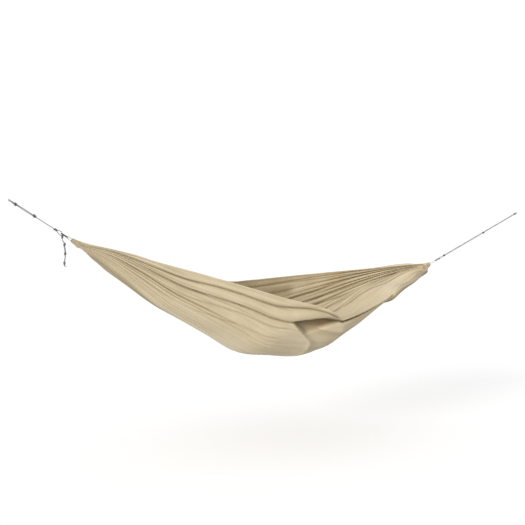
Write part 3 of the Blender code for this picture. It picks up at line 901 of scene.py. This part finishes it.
@dataclass(frozen=True)
class GuideLine:
    """One lengthwise line of the cloth: seam, low point, seam."""

    start: np.ndarray
    end: np.ndarray
    low: np.ndarray
    bends: Pair
    flare: float
    sags: tuple[Row, ...] = ()
    spread_bend: float = 1.35

    def at(self, u: np.ndarray) -> np.ndarray:
        """Points of the line.

        Args:
            u: Places along it, from 0 to 1.

        Returns:
            A point for each place.
        """
        middle = (self.low[0] - self.start[0]) / (self.end[0] - self.start[0])
        left = u < middle
        share = np.minimum(1.0, np.abs(u - middle) / np.where(left, middle, 1 - middle))
        fall = (1 - share ** np.where(left, *self.bends)) ** self.flare
        spread = 1 - share**self.spread_bend
        base = np.where(left[..., None], self.start, self.end)
        sunk = humps(u, self.sags) * ease(np.minimum(u, 1 - u) / 0.02)
        x = self.start[0] + (self.end[0] - self.start[0]) * u
        y = base[..., 1] + (self.low[1] - base[..., 1]) * spread
        z = base[..., 2] + (self.low[2] - base[..., 2]) * fall - sunk
        return np.stack([x, y, z], axis=-1)


@dataclass(frozen=True)
class PleatFan:
    """The pleats that spread from one gathered end: sharp valleys between soft ribs."""

    seed: int
    count: int = 24
    reach: Pair = (0.66, 1.15)
    strengths: Pair = (0.50, 1.50)
    shift: float = 0.30
    deepest: float = 0.0200
    sharpness: int = 8

    def across(self, share: np.ndarray) -> np.ndarray:
        """Where each column lies across the cloth, with as many columns to every pleat.

        Args:
            share: Which column, from 0 to 1.

        Returns:
            Places across the cloth, from 0 to 1.
        """
        chance = np.random.default_rng(self.seed)
        even = np.arange(self.count + 1) / self.count
        valleys = even.copy()
        valleys[1:-1] += chance.uniform(-self.shift, self.shift, self.count - 1) / self.count
        return np.interp(share, even, valleys)

    def depth(
        self, distance: np.ndarray, share: np.ndarray, spare: np.ndarray, room: np.ndarray
    ) -> np.ndarray:
        """Depth of the valleys, which take up the width that the bunched end has no room for.

        Args:
            distance: How far from the gathered end, from 0 to 1.
            share: Which column, from 0 to 1 across the cloth.
            spare: The flat width less the hung width at each place, in metres.
            room: How deep the bunched cloth may go at each place, in metres.

        Returns:
            Depths in metres, from 0 on the ribs.
        """
        chance = np.random.default_rng(self.seed + 100)
        phase = share * self.count
        index = np.rint(phase).astype(int)
        strength = chance.uniform(*self.strengths, self.count + 1)
        fades = chance.uniform(*self.reach, self.count + 1)
        size = np.clip(spare / (2 * self.count), 0, np.minimum(self.deepest, room))
        valley = np.cos(math.pi * phase) ** self.sharpness
        return size * strength[index] * valley * (1 - ease(distance / fades[index]))


@dataclass(frozen=True)
class Fold:
    """One lengthwise fold of a wall, along a route of (u, v) places on the sheet.

    The cloth dips into a sharp crease on the route, with painted shade in it, and the strip above
    it swells outwards.
    """

    route: tuple[Pair, ...]
    crease: float
    swell: float = 0.0
    swell_width: float = 0.04
    width: float = 0.006
    # How dark the painted shade in the crease is
    painted_shade: float = 0.8
    fade: float = 0.03

    def shape(
        self, u: np.ndarray, v: np.ndarray, width: np.ndarray
    ) -> tuple[np.ndarray, np.ndarray]:
        """The fold's height and the painted shade in its crease.

        Args:
            u: Place along the sheet.
            v: Place across it.
            width: The cloth's hung width at each place, in metres.

        Returns:
            Heights in metres, outwards positive, and how dark the painted shade in the crease is.
        """
        where, line = np.array(self.route).T
        below = (v - np.interp(u, where, line)) * width
        ends = ease((u - where[0]) / 0.08) * ease((where[-1] - u) / self.fade)
        dip = np.exp(-np.abs(below) / self.width)
        above = -below / self.swell_width
        swell = np.where(above > 0, np.sin(math.pi * np.clip(above, 0, 1)) ** 0.8, 0.0)
        height = ends * (self.swell * swell - self.crease * dip)
        return height, ends * self.painted_shade * dip


# From the near rim down: two swelling bands, three soft folds below them, one fold to the right
NEAR_WALL_FOLDS = (
    Fold(((0.030, 0.100), (0.127, 0.095), (0.204, 0.083), (0.262, 0.062), (0.334, 0.053),
          (0.388, 0.044), (0.453, 0.025), (0.514, 0.013), (0.545, 0.004)),
         crease=0.010, swell=0.007, swell_width=0.038, width=0.004, painted_shade=0.85),
    Fold(((0.073, 0.189), (0.133, 0.172), (0.208, 0.164), (0.257, 0.144), (0.337, 0.119),
          (0.390, 0.110), (0.419, 0.112), (0.461, 0.086), (0.500, 0.050), (0.534, 0.014)),
         crease=0.008, swell=0.012, swell_width=0.070, width=0.005, painted_shade=0.75),
    Fold(((0.06, 0.182), (0.207, 0.150), (0.415, 0.103)), crease=0.003, width=0.003, painted_shade=0.35),
    Fold(((0.04, 0.25), (0.138, 0.236), (0.214, 0.228), (0.312, 0.175), (0.430, 0.145)),
         crease=0.0045, width=0.004, painted_shade=0.45),
    Fold(((0.04, 0.35), (0.143, 0.333), (0.234, 0.308), (0.323, 0.251), (0.415, 0.210)),
         crease=0.004, width=0.004, painted_shade=0.40),
    Fold(((0.545, 0.004), (0.593, 0.010), (0.656, 0.022), (0.760, 0.028), (0.85, 0.02)),
         crease=0.004, width=0.004, painted_shade=0.5),
)

# From the far rim down: the rim's own fold, a broad shade below it, and five deeper creases
FAR_WALL_FOLDS = (
    Fold(((0.36, 0.968), (0.50, 0.966), (0.638, 0.960), (0.776, 0.940), (0.884, 0.900),
          (0.99, 0.87)),
         crease=0.007, width=0.005, painted_shade=0.6, fade=0.30),
    Fold(((0.30, 0.950), (0.46, 0.935), (0.56, 0.920), (0.66, 0.91)),
         crease=0.004, width=0.034, painted_shade=0.65),
    Fold(((0.46, 0.872), (0.643, 0.858), (0.712, 0.852), (0.802, 0.870), (0.912, 0.890)),
         crease=0.016, width=0.008, painted_shade=0.95, fade=0.24),
    Fold(((0.48, 0.840), (0.671, 0.805), (0.739, 0.788), (0.822, 0.769), (0.936, 0.788)),
         crease=0.012, width=0.006, painted_shade=0.75, fade=0.20),
    Fold(((0.50, 0.800), (0.692, 0.759), (0.757, 0.719), (0.839, 0.690), (0.948, 0.749)),
         crease=0.012, width=0.006, painted_shade=0.8),
    Fold(((0.52, 0.730), (0.717, 0.670), (0.769, 0.641), (0.858, 0.618), (0.960, 0.700)),
         crease=0.010, width=0.006, painted_shade=0.7),
    Fold(((0.66, 0.62), (0.711, 0.600), (0.744, 0.575), (0.794, 0.556), (0.845, 0.547),
          (0.908, 0.540), (0.97, 0.54)),
         crease=0.010, width=0.005, painted_shade=0.7),
)


@dataclass(frozen=True)
class Hollow:
    """The three-cornered recess below the near wall's bands, where the slack cloth sinks in.

    Its top and foot are (u, v) places and its ridge, the slanting side at the left, (v, u).
    """

    top: tuple[Pair, ...] = ((0.419, 0.112), (0.461, 0.086), (0.534, 0.014))
    foot: tuple[Pair, ...] = ((0.43, 0.22), (0.465, 0.152), (0.489, 0.104), (0.534, 0.020))
    ridge: tuple[Pair, ...] = ((0.11, 0.420), (0.167, 0.450), (0.215, 0.480), (0.33, 0.494))
    run: float = 2.3
    depth: float = 0.034
    knee: float = 0.009
    beyond: float = 0.012

    def shape(self, u: np.ndarray, v: np.ndarray, width: np.ndarray) -> np.ndarray:
        """How far the cloth sinks in.

        Args:
            u: Place along the sheet.
            v: Place across it.
            width: The cloth's hung width at each place, in metres.

        Returns:
            Depths in metres.
        """
        top = (v - np.interp(u, *np.array(self.top).T)) * width
        foot = (np.interp(u, *np.array(self.foot).T) - v) * width
        ridge = (u - np.interp(v, *np.array(self.ridge).T)) * self.run
        inside = ease((top + 0.004) / 0.012) * ease((foot + 0.030) / 0.045)
        sunk = self.depth * inside * ease((ridge + 0.004) / 0.030)
        # Below the recess the cloth turns over a soft knee and falls back beyond it
        low = ease((v - 0.11) / 0.03) * ease((0.42 - v) / 0.08)
        past = ease((ridge + 0.002) / 0.016) * ease((0.62 - u) / 0.10)
        return sunk + low * (self.beyond * past - self.knee * np.exp(-np.abs(ridge) / 0.010))


@dataclass
class BedCloth:
    """The sheet of the hammock, hung between its gathered ends, and its two hems."""

    finishes: Finishes
    low_point: float = 1.245
    keel_fall: float = 0.634
    near_out: float = 0.430
    near_fall: float = 0.398
    far_out: float = 0.352
    far_fall: float = 0.238
    rim_gap: float = 0.0130
    rim_inset: float = 0.0020
    belly_bulge: float = 0.030
    rim_lift: float = 0.012
    # Small sags and lifts of the belly, each with its place along the cloth, width and depth
    belly_sags: tuple[Row, ...] = (
        (0.012, 0.016, 0.004), (0.062, 0.030, -0.005), (0.185, 0.050, 0.011),
        (0.385, 0.046, 0.025), (0.543, 0.035, -0.006), (0.690, 0.080, -0.014),
        (0.800, 0.055, -0.040), (0.915, 0.060, -0.028),
    )
    # How fast the cloth opens out from its ends, and how round the bunched ends are
    opening: float = 2.2
    seam_round: float = 0.8
    # How tight the near wall is, from how far before the low point, and over what run
    near_tautness: float = 0.80
    near_tight: Pair = (0.04, 0.10)
    # Where the near rim stays up: how far before the low point, how wide, and its end's run
    rim_up: Row = (0.065, 0.050, 0.045)
    # From what v, and over what share, the belly's sags die out on the far wall
    sag_fade: Pair = (0.60, 0.14)
    # Over what share of the cloth the pleats die out at the hems, the seams and the keel
    hem_fade: float = 0.012
    seam_fade: float = 0.045
    keel_fade: float = 0.035
    # How dark the painted shade in the pleats' valleys gets, and the depth in metres at which it is
    # that dark
    pleat_shade: float = 0.75
    pleat_shade_at: float = 0.016
    # How deep bunched cloth may go: at least, and more for each metre of width
    pleat_room: Pair = (0.004, 0.070)
    # Half width, half thickness and inset of a rolled hem, and the cloth rolled up in it
    hem_half: Pair = (0.0048, 0.0020)
    hem_inset: float = 0.0030
    hem_girth: float = 0.022
    rows: int = 228
    columns: int = 432
    flat: Pair = CLOTH_SIZE

    def __post_init__(self) -> None:
        """Work out the guide lines and the low point's place along the cloth."""
        low_x = LEFT_TIP.x + self.low_point
        left, right = (half[1] - self.rim_inset for half in SEAM_HALF.values())
        keel_low = (low_x, 0, LEFT_TIP.z - self.keel_fall)
        near_low = (low_x, -self.near_out, LEFT_TIP.z - self.near_fall)
        far_low = (low_x, self.far_out, LEFT_TIP.z - self.far_fall)
        gap = self.rim_gap / 2
        near_sags, far_sags = ((0.93, 0.07, 0.008),), ((0.455, 0.05, 0.013),)
        self.keel = self.guide(0, (-left, -right), keel_low, (2.0, 1.10), 1.38)
        near_ups = (left, -0.7 * right)
        self.near_rim = self.guide(-gap, near_ups, near_low, (0.91, 1.12), 1.0, near_sags)
        self.far_rim = self.guide(gap, (left, right), far_low, (1.80, 1.05), 1.0, far_sags)
        self.low_u = (low_x - self.keel.start[0]) / (self.keel.end[0] - self.keel.start[0])

    def guide(
        self,
        across: float,
        ups: Pair,
        low: Row,
        bends: Pair,
        flare: float,
        sags: tuple[Row, ...] = (),
    ) -> GuideLine:
        """A guide line whose ends lie in the seams of the two gathered ends.

        Args:
            across: Its place across both seams.
            ups: Its height in the left seam and in the right one.
            low: Its low point in the row frame.
            bends: The powers of its curve to the left and to the right of the low point.
            flare: How slowly it starts to fall from the ends.
            sags: Small sags, each with its place, width and depth.

        Returns:
            The line.
        """
        ends = []
        for line, up in zip(LINES.values(), ups):
            facing = math.copysign(1.0, line.col[1].y)
            ends.append(np.array(line @ Vector((-GATHER - GAP, across * facing, up))))
        return GuideLine(ends[0], ends[1], np.array(low, float), bends, flare, sags)

    def openness(self, u: np.ndarray) -> np.ndarray:
        """0 at the gathered ends, 1 where the cloth hangs open at its low point."""
        share = np.abs(u - self.low_u) / np.where(u < self.low_u, self.low_u, 1 - self.low_u)
        return 1 - np.minimum(1.0, share) ** self.opening

    def hung(self, u: np.ndarray, v: np.ndarray) -> np.ndarray:
        """The sheet's middle surface as it hangs, before its pleats and creases.

        Args:
            u: Place along the sheet.
            v: Place across it.

        Returns:
            A point for each place.
        """
        keel, near, far = (line.at(u) for line in (self.keel, self.near_rim, self.far_rim))
        is_near = v < 0.5
        climb = np.abs(2 * v - 1)
        side = np.where(is_near, -1.0, 1.0)
        opened = self.openness(u)
        rise = np.where(is_near[..., None], near, far) - keel
        # Round in section at the ends, and hanging where it is open; the near wall is pulled
        # tight to the right of the low point
        hanging = 1 - np.cos(math.pi * climb / 2)
        before, over = self.near_tight
        tight = np.where(is_near, ease((u - self.low_u + before) / over), 0.0)
        hanging = hanging + (climb - hanging) * self.near_tautness * tight
        lift = (1 - np.cos(math.pi * climb)) / 2 * (1 - opened) + hanging * opened
        halves = (half[0] for half in SEAM_HALF.values())
        seam = self.seam_round * np.where(u < self.low_u, *halves)
        bulge = seam + (self.belly_bulge - seam) * opened
        point = keel.copy()
        point[..., 0] += rise[..., 0] * lift
        point[..., 2] += rise[..., 2] * lift
        point[..., 1] += rise[..., 1] * np.sin(math.pi * climb / 2)
        point[..., 1] += side * bulge * np.sin(math.pi * climb)
        # The near rim stays up until just before its low point, where it dips sharply
        before, wide, end = self.rim_up
        lifted = hump(u, self.low_u - before, wide) * (1 - ease((u - self.low_u + end) / end))
        point[..., 2] += self.rim_lift * lifted * np.where(is_near, hump(climb, 1.0, 0.40), 0.0)
        sunk = humps(u, self.belly_sags) * ease(np.minimum(u, 1 - u) / 0.008)
        begins, over = self.sag_fade
        point[..., 2] -= sunk * (1 - climb**6) * (1 - ease((v - begins) / over))
        return point

    def places(self) -> tuple[np.ndarray, np.ndarray, np.ndarray]:
        """The finished surface.

        Returns:
            Places and outward normals of the grid, and how dark the painted shade of each is in its
            creases and recess.
        """
        left_fan, right_fan = PleatFan(seed=11), PleatFan(seed=5)
        u, share = np.meshgrid(
            np.linspace(0, 1, self.rows + 1), np.linspace(0, 1, self.columns + 1), indexing="ij"
        )
        change = ease(u * 1.6 - 0.3)
        v = left_fan.across(share) * (1 - change) + right_fan.across(share) * change
        base = self.hung(u, v)
        across = np.gradient(base, axis=1)
        normals = np.cross(across, np.gradient(base, axis=0))
        for row, line in ((0, LINES[Side.LEFT]), (-1, LINES[Side.RIGHT])):
            along = np.array(line.to_3x3().col[0])
            normals[row] -= (normals[row] @ along)[:, None] * along
        normals = unit(normals)
        width = np.linalg.norm(across, axis=2).sum(axis=1)[:, None]
        spare = self.flat[0] - np.broadcast_to(width, v.shape)
        room = self.pleat_room[0] + self.pleat_room[1] * np.broadcast_to(width, v.shape)
        left = left_fan.depth(u, share, spare, room)
        right = right_fan.depth(1 - u, share, spare, room)
        # The pleats stop short of the hems, and of the seams on the far wall
        hemmed = ease(v / self.hem_fade) * ease((1 - v) / self.hem_fade)
        from_seam = np.minimum(u, 1 - u)
        seamed = np.where(v < 0.46, 1.0, ease(from_seam / self.seam_fade))
        # The strip below the near rim is nearly even at the left; the far wall takes up more
        even = 1 - 0.6 * ease((0.17 - v) / 0.05) * ease((0.5 - u) / 0.1)
        even = even + 0.3 * ease((v - 0.56) / 0.05) * ease((0.5 - u) / 0.1)
        depth = (left + right) * hemmed * seamed * even
        # From the near side a valley sinks inwards; the far wall's sink away from its inside
        facing = np.tanh((v - 0.5) / self.keel_fade)
        calm = 1 - ease((u - self.low_u) / 0.10) * ease((0.57 - v) / 0.04) * 0.85
        height = depth * facing * calm
        # Painted shade in the valleys, lighter near the seams and under the far rim at the right
        painted_shade = np.clip(depth / self.pleat_shade_at, 0, 1) ** 2 * self.pleat_shade
        crease = painted_shade * calm * np.minimum(even, 1)
        crease = crease * (0.20 + 0.80 * ease(from_seam / 0.32))
        crease = crease * (1 - 0.45 * ease((v - 0.84) / 0.08) * ease((u - 0.58) / 0.12))
        near, far = v < 0.5, v >= 0.5
        # Each fold moves its wall and adds the painted shade of its crease
        for wall, folds, outwards in ((near, NEAR_WALL_FOLDS, 1), (far, FAR_WALL_FOLDS, -1)):
            for fold in folds:
                swell, painted_shade = fold.shape(u, v, width)
                height = height + outwards * swell * wall
                crease = np.maximum(crease, painted_shade * wall)
        sunk = Hollow().shape(u, v, width) * near
        height = height - sunk
        # Little light reaches the bottom of the recess
        crease = np.maximum(crease, 0.95 * ease(sunk / 0.026) * ease((0.20 - v) / 0.10))
        return base + normals * height[..., None], normals, np.clip(crease, 0, 1)

    def hem(self, edge: Edge, places: np.ndarray, normals: np.ndarray) -> bpy.types.Object:
        """The rolled hem along one rim: a flattened roll of the same cloth.

        Args:
            edge: Which rim.
            places: The sheet's grid.
            normals: Its outward normals.

        Returns:
            The piece.
        """
        path = places[:, edge.value]
        outward = unit(path - places[:, 3 if edge is Edge.NEAR else -4])
        normal = unit(normals[:, edge.value])
        outward = unit(outward - normal * (outward * normal).sum(axis=1)[:, None])
        turn = np.linspace(0, TURN, 13)[None, :, None]
        wide, thick = self.hem_half
        ring = np.cos(turn) * outward[:, None] * wide + np.sin(turn) * normal[:, None] * thick
        grid = (path - outward * self.hem_inset)[:, None] + ring
        size = (self.hem_girth, self.flat[1])
        name = f"{edge.name.lower()}_rolled_hem"
        piece = shaped_grid(name, grid, size, closed=True, capped=True)
        dress(piece, self.finishes.hem)
        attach(piece, Body.HAMMOCK.value)
        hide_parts(f"{edge.name.lower()}_edge_hem")
        return piece

    def build(self) -> list[str]:
        """Make the sheet and its hems.

        Returns:
            The names of the pieces.
        """
        places, normals, crease = self.places()
        piece = shaped_grid("bed_sheet", places, self.flat)
        mark_painted_shade(piece, crease)
        dress(piece, self.finishes.cloth)
        hems = [self.hem(edge, places, normals) for edge in Edge]
        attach(piece, Body.HAMMOCK.value)
        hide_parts("bed_cloth")
        hung = sum(face.area for face in piece.data.polygons)
        LOG.info("bed_sheet: %.2f of %.2f square metres", hung, self.flat[0] * self.flat[1])
        return ["bed_sheet", *(hem.name for hem in hems)]


@dataclass
class GatheredEnd:
    """The end channel of the sheet, bunched tight on its loop of cord."""

    finishes: Finishes
    side: Side
    overlap: float = 0.006
    flutes: int = 15
    flute_depth: float = 0.0034
    rib_out: float = 0.0016
    # How dark the seam is drawn, and the painted shade in the mouth and in the flutes' valleys
    darks: Row = (0.6, 0.55, 0.8)
    # The size of its UV map in metres, round and along
    size: Pair = (0.30, 0.06)
    # By share of the grid's length: the place along the channel, in gathers from the tip,
    # which turns back in at the mouth, and the width as a share of the full width
    runs: tuple[Pair, ...] = ((0.72, -0.05), (0.86, 0), (0.94, -0.05), (1, -0.22))
    widths: tuple[Pair, ...] = (
        (0, 0.84), (0.06, 0.94), (0.12, 1.0), (0.72, 1.0),
        (0.80, 0.90), (0.86, 0.66), (0.92, 0.48), (1, 0.42),
    )
    rows: int = 30
    columns: int = 240

    def build(self) -> list[str]:
        """Make the channel with its seam, closed at the mouth round the cord.

        Returns:
            The piece's name.
        """
        line = LINES[self.side]
        chance = np.random.default_rng(3 if self.side is Side.LEFT else 4)
        turn = np.linspace(0, TURN, self.columns + 1)
        starts = chance.uniform(0, 6, 3)
        seam_half, tip_half = np.array(SEAM_HALF[self.side]), np.array(TIP_HALF[self.side])

        def flute(angle: np.ndarray) -> np.ndarray:
            """How high each rib stands at an angle round the channel, from 0 in the valleys."""
            phase = self.flutes * angle + 1.1 * np.sin(2 * angle + starts[0])
            return np.abs(np.sin(phase / 2 + 0.4 * np.sin(3 * angle + starts[1]))) ** 0.6

        # The ribs differ a little in depth, and the seam is a shallow groove round them
        uneven = 0.75 + 0.25 * np.sin(turn * 5 + starts[2])
        stations = np.linspace(0, 1, self.rows + 1)
        runs = np.array([(0, -1 - self.overlap / GATHER), *self.runs])
        run = np.interp(stations, *runs.T)
        scale = np.interp(stations, *np.array(self.widths).T)
        groove = 1 - 0.05 * hump(stations, 0.13, 0.02)
        station = np.clip(run + 1, 0, 1) ** 0.7
        half_y, half_z = seam_half[:, None] + (tip_half - seam_half)[:, None] * station
        swell = (scale * groove)[:, None]
        cut = self.flute_depth * (1 - flute(turn)) * uneven * swell
        y = ((half_y[:, None] + self.rib_out) * swell - cut) * np.cos(turn)
        z = ((half_z[:, None] + self.rib_out) * swell - cut) * np.sin(turn)
        x = np.broadcast_to((run * GATHER)[:, None], y.shape)
        places = in_world(line, np.stack([x, y, z], axis=-1).reshape(-1, 3)).reshape(*y.shape, 3)
        name = f"{self.side.value}_channel"
        piece = shaped_grid(name, places, self.size, closed=True, capped=True)
        seam_dark, mouth_shade, valley_shade = self.darks
        local = np.array([tuple(line.inverted() @ v.co) for v in piece.data.vertices])
        # The seam is drawn dark; the mouth and the flutes' valleys get painted shade
        seam = hump(local[:, 0], -GATHER + 0.004, 0.0016) * seam_dark
        mouth = ease((local[:, 0] + 0.004) / 0.004) * mouth_shade
        angle = np.arctan2(local[:, 2] / seam_half[1], local[:, 1] / seam_half[0])
        valley = (1 - flute(np.mod(angle, TURN))) ** 2 * valley_shade
        mark_painted_shade(piece, np.clip(seam + mouth + valley, 0, 0.9))
        dress(piece, self.finishes.channel)
        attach(piece, Body.HAMMOCK.value)
        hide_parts(f"{self.side.value}_gather")
        return [name]


# ---------------------------------------------------------------- hooks


@dataclass
class SnapHooks:
    """The two snap hooks, whose bodies, gates and rivets come from the frame."""

    finishes: Finishes

    def build(self) -> list[str]:
        """Give each part of the hooks its metal.

        Returns:
            The names of the parts.
        """
        metals = {
            "hook_body": self.finishes.anodised,
            "hook_gate": self.finishes.anodised,
            "hook_pin": self.finishes.steel,
        }
        made = []
        for side in Side:
            for part, finish in metals.items():
                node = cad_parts[f"{side.value}_{part}"]
                dress(node, finish)
                made.append(node.name)
        return made


# ---------------------------------------------------------------- studio


@dataclass
class Studio:
    """Camera, pale floor and soft light."""

    eye: Row = (-0.92066, -3.35852, -0.155)
    yaw: float = 33.79127
    pitch: float = -2.04753
    focal_px: float = 759.842
    picture_px: float = 525.0
    sensor_mm: float = 36.0
    floor_z: float = -1.25
    floor_reach: float = 30.0
    floor_middle: float = 1.7
    floor_glow: float = 0.16
    world_light: float = 0.73
    sun_strength: float = 2.7
    sun_spread: float = 32.0
    sun_heading: Row = (0.94, 0.26, -0.23)

    def camera(self) -> None:
        """The camera at the photograph's place and angle."""
        yaw, pitch = math.radians(self.yaw), math.radians(self.pitch)
        level = math.cos(pitch)
        forward = Vector((math.sin(yaw) * level, math.cos(yaw) * level, math.sin(pitch)))
        right = Vector((math.cos(yaw), -math.sin(yaw), 0))
        up = right.cross(forward)
        lens = bpy.data.cameras.new("camera")
        lens.sensor_width = self.sensor_mm
        lens.lens = self.sensor_mm * self.focal_px / self.picture_px
        lens.clip_end = 100.0
        eye = add_object("camera", lens)
        turn = Matrix((right, up, -forward)).transposed().to_4x4()
        eye.matrix_world = Matrix.Translation(Vector(self.eye)) @ turn
        bpy.context.scene.camera = eye

    def floor(self) -> None:
        """A wide pale floor that takes the hammock's soft shadow."""
        work = bmesh.new()
        bmesh.ops.create_grid(work, x_segments=2, y_segments=2, size=self.floor_reach)
        bmesh.ops.translate(work, verts=work.verts, vec=(self.floor_middle, 0, self.floor_z))
        mesh = bpy.data.meshes.new("floor")
        work.to_mesh(mesh)
        work.free()
        constants = {"Roughness": 0.95, "Specular IOR Level": 0.0, "Emission Color": (1, 1, 1, 1)}
        paint, tree, shader = start_material("pale_floor", constants)
        seen = add_node(tree, "ShaderNodeLightPath", None, "Is Camera Ray")
        glow = {0: seen, 1: self.floor_glow}
        lift = add_node(tree, "ShaderNodeMath", glow, operation="MULTIPLY")
        # White to the eye, but a softer bounce from below on the hammock
        tones = {0: seen, 6: (0.70, 0.70, 0.69, 1), 7: (0.96, 0.96, 0.96, 1)}
        tone = add_node(tree, "ShaderNodeMix", tones, 2, data_type="RGBA")
        tree.links.new(lift, shader.inputs["Emission Strength"])
        tree.links.new(tone, shader.inputs["Base Color"])
        mesh.materials.append(paint)
        add_object("floor", mesh)

    def sun(self) -> None:
        """One wide soft light that comes from the left, a little above the level."""
        lamp = bpy.data.lights.new("key_light", "SUN")
        lamp.energy = self.sun_strength
        lamp.angle = math.radians(self.sun_spread)
        turn = Vector(self.sun_heading).to_track_quat("-Z", "Y").to_matrix().to_4x4()
        add_object("key_light", lamp).matrix_world = turn

    def world(self) -> None:
        """White all round for the camera and for reflections, softer as a light."""
        world = bpy.data.worlds.new("studio_world")
        bpy.context.scene.world = world
        world.use_nodes = True
        tree = world.node_tree
        rays = add_node(tree, "ShaderNodeLightPath").node.outputs
        seen = rays["Is Camera Ray"]
        for ray in ("Is Glossy Ray", "Is Transmission Ray"):
            seen = add_node(tree, "ShaderNodeMath", {0: seen, 1: rays[ray]}, operation="MAXIMUM")
        light = {"Value": seen, "To Min": self.world_light, "To Max": 1.0}
        ground = tree.nodes["Background"]
        ground.inputs["Color"].default_value = (1, 1, 1, 1)
        tree.links.new(add_node(tree, "ShaderNodeMapRange", light), ground.inputs["Strength"])

    def build(self) -> None:
        """Set up everything around the hammock."""
        self.camera()
        self.floor()
        self.world()
        self.sun()
        bpy.context.scene.view_settings.view_transform = "Standard"


def main() -> None:
    """Build the hammock's sub-assemblies in order."""
    logging.basicConfig(level=logging.INFO, format="%(message)s")
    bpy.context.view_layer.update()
    Studio().build()
    finishes = Finishes.make()
    for assembly in (
        Suspension(finishes),
        GatheredEnd(finishes, Side.LEFT),
        GatheredEnd(finishes, Side.RIGHT),
        BedCloth(finishes),
        SnapHooks(finishes),
    ):
        for piece in assembly.build():
            LOG.info("%s: %s", type(assembly).__name__, piece)
    bpy.context.view_layer.update()


if __name__ == "__main__":
    main()
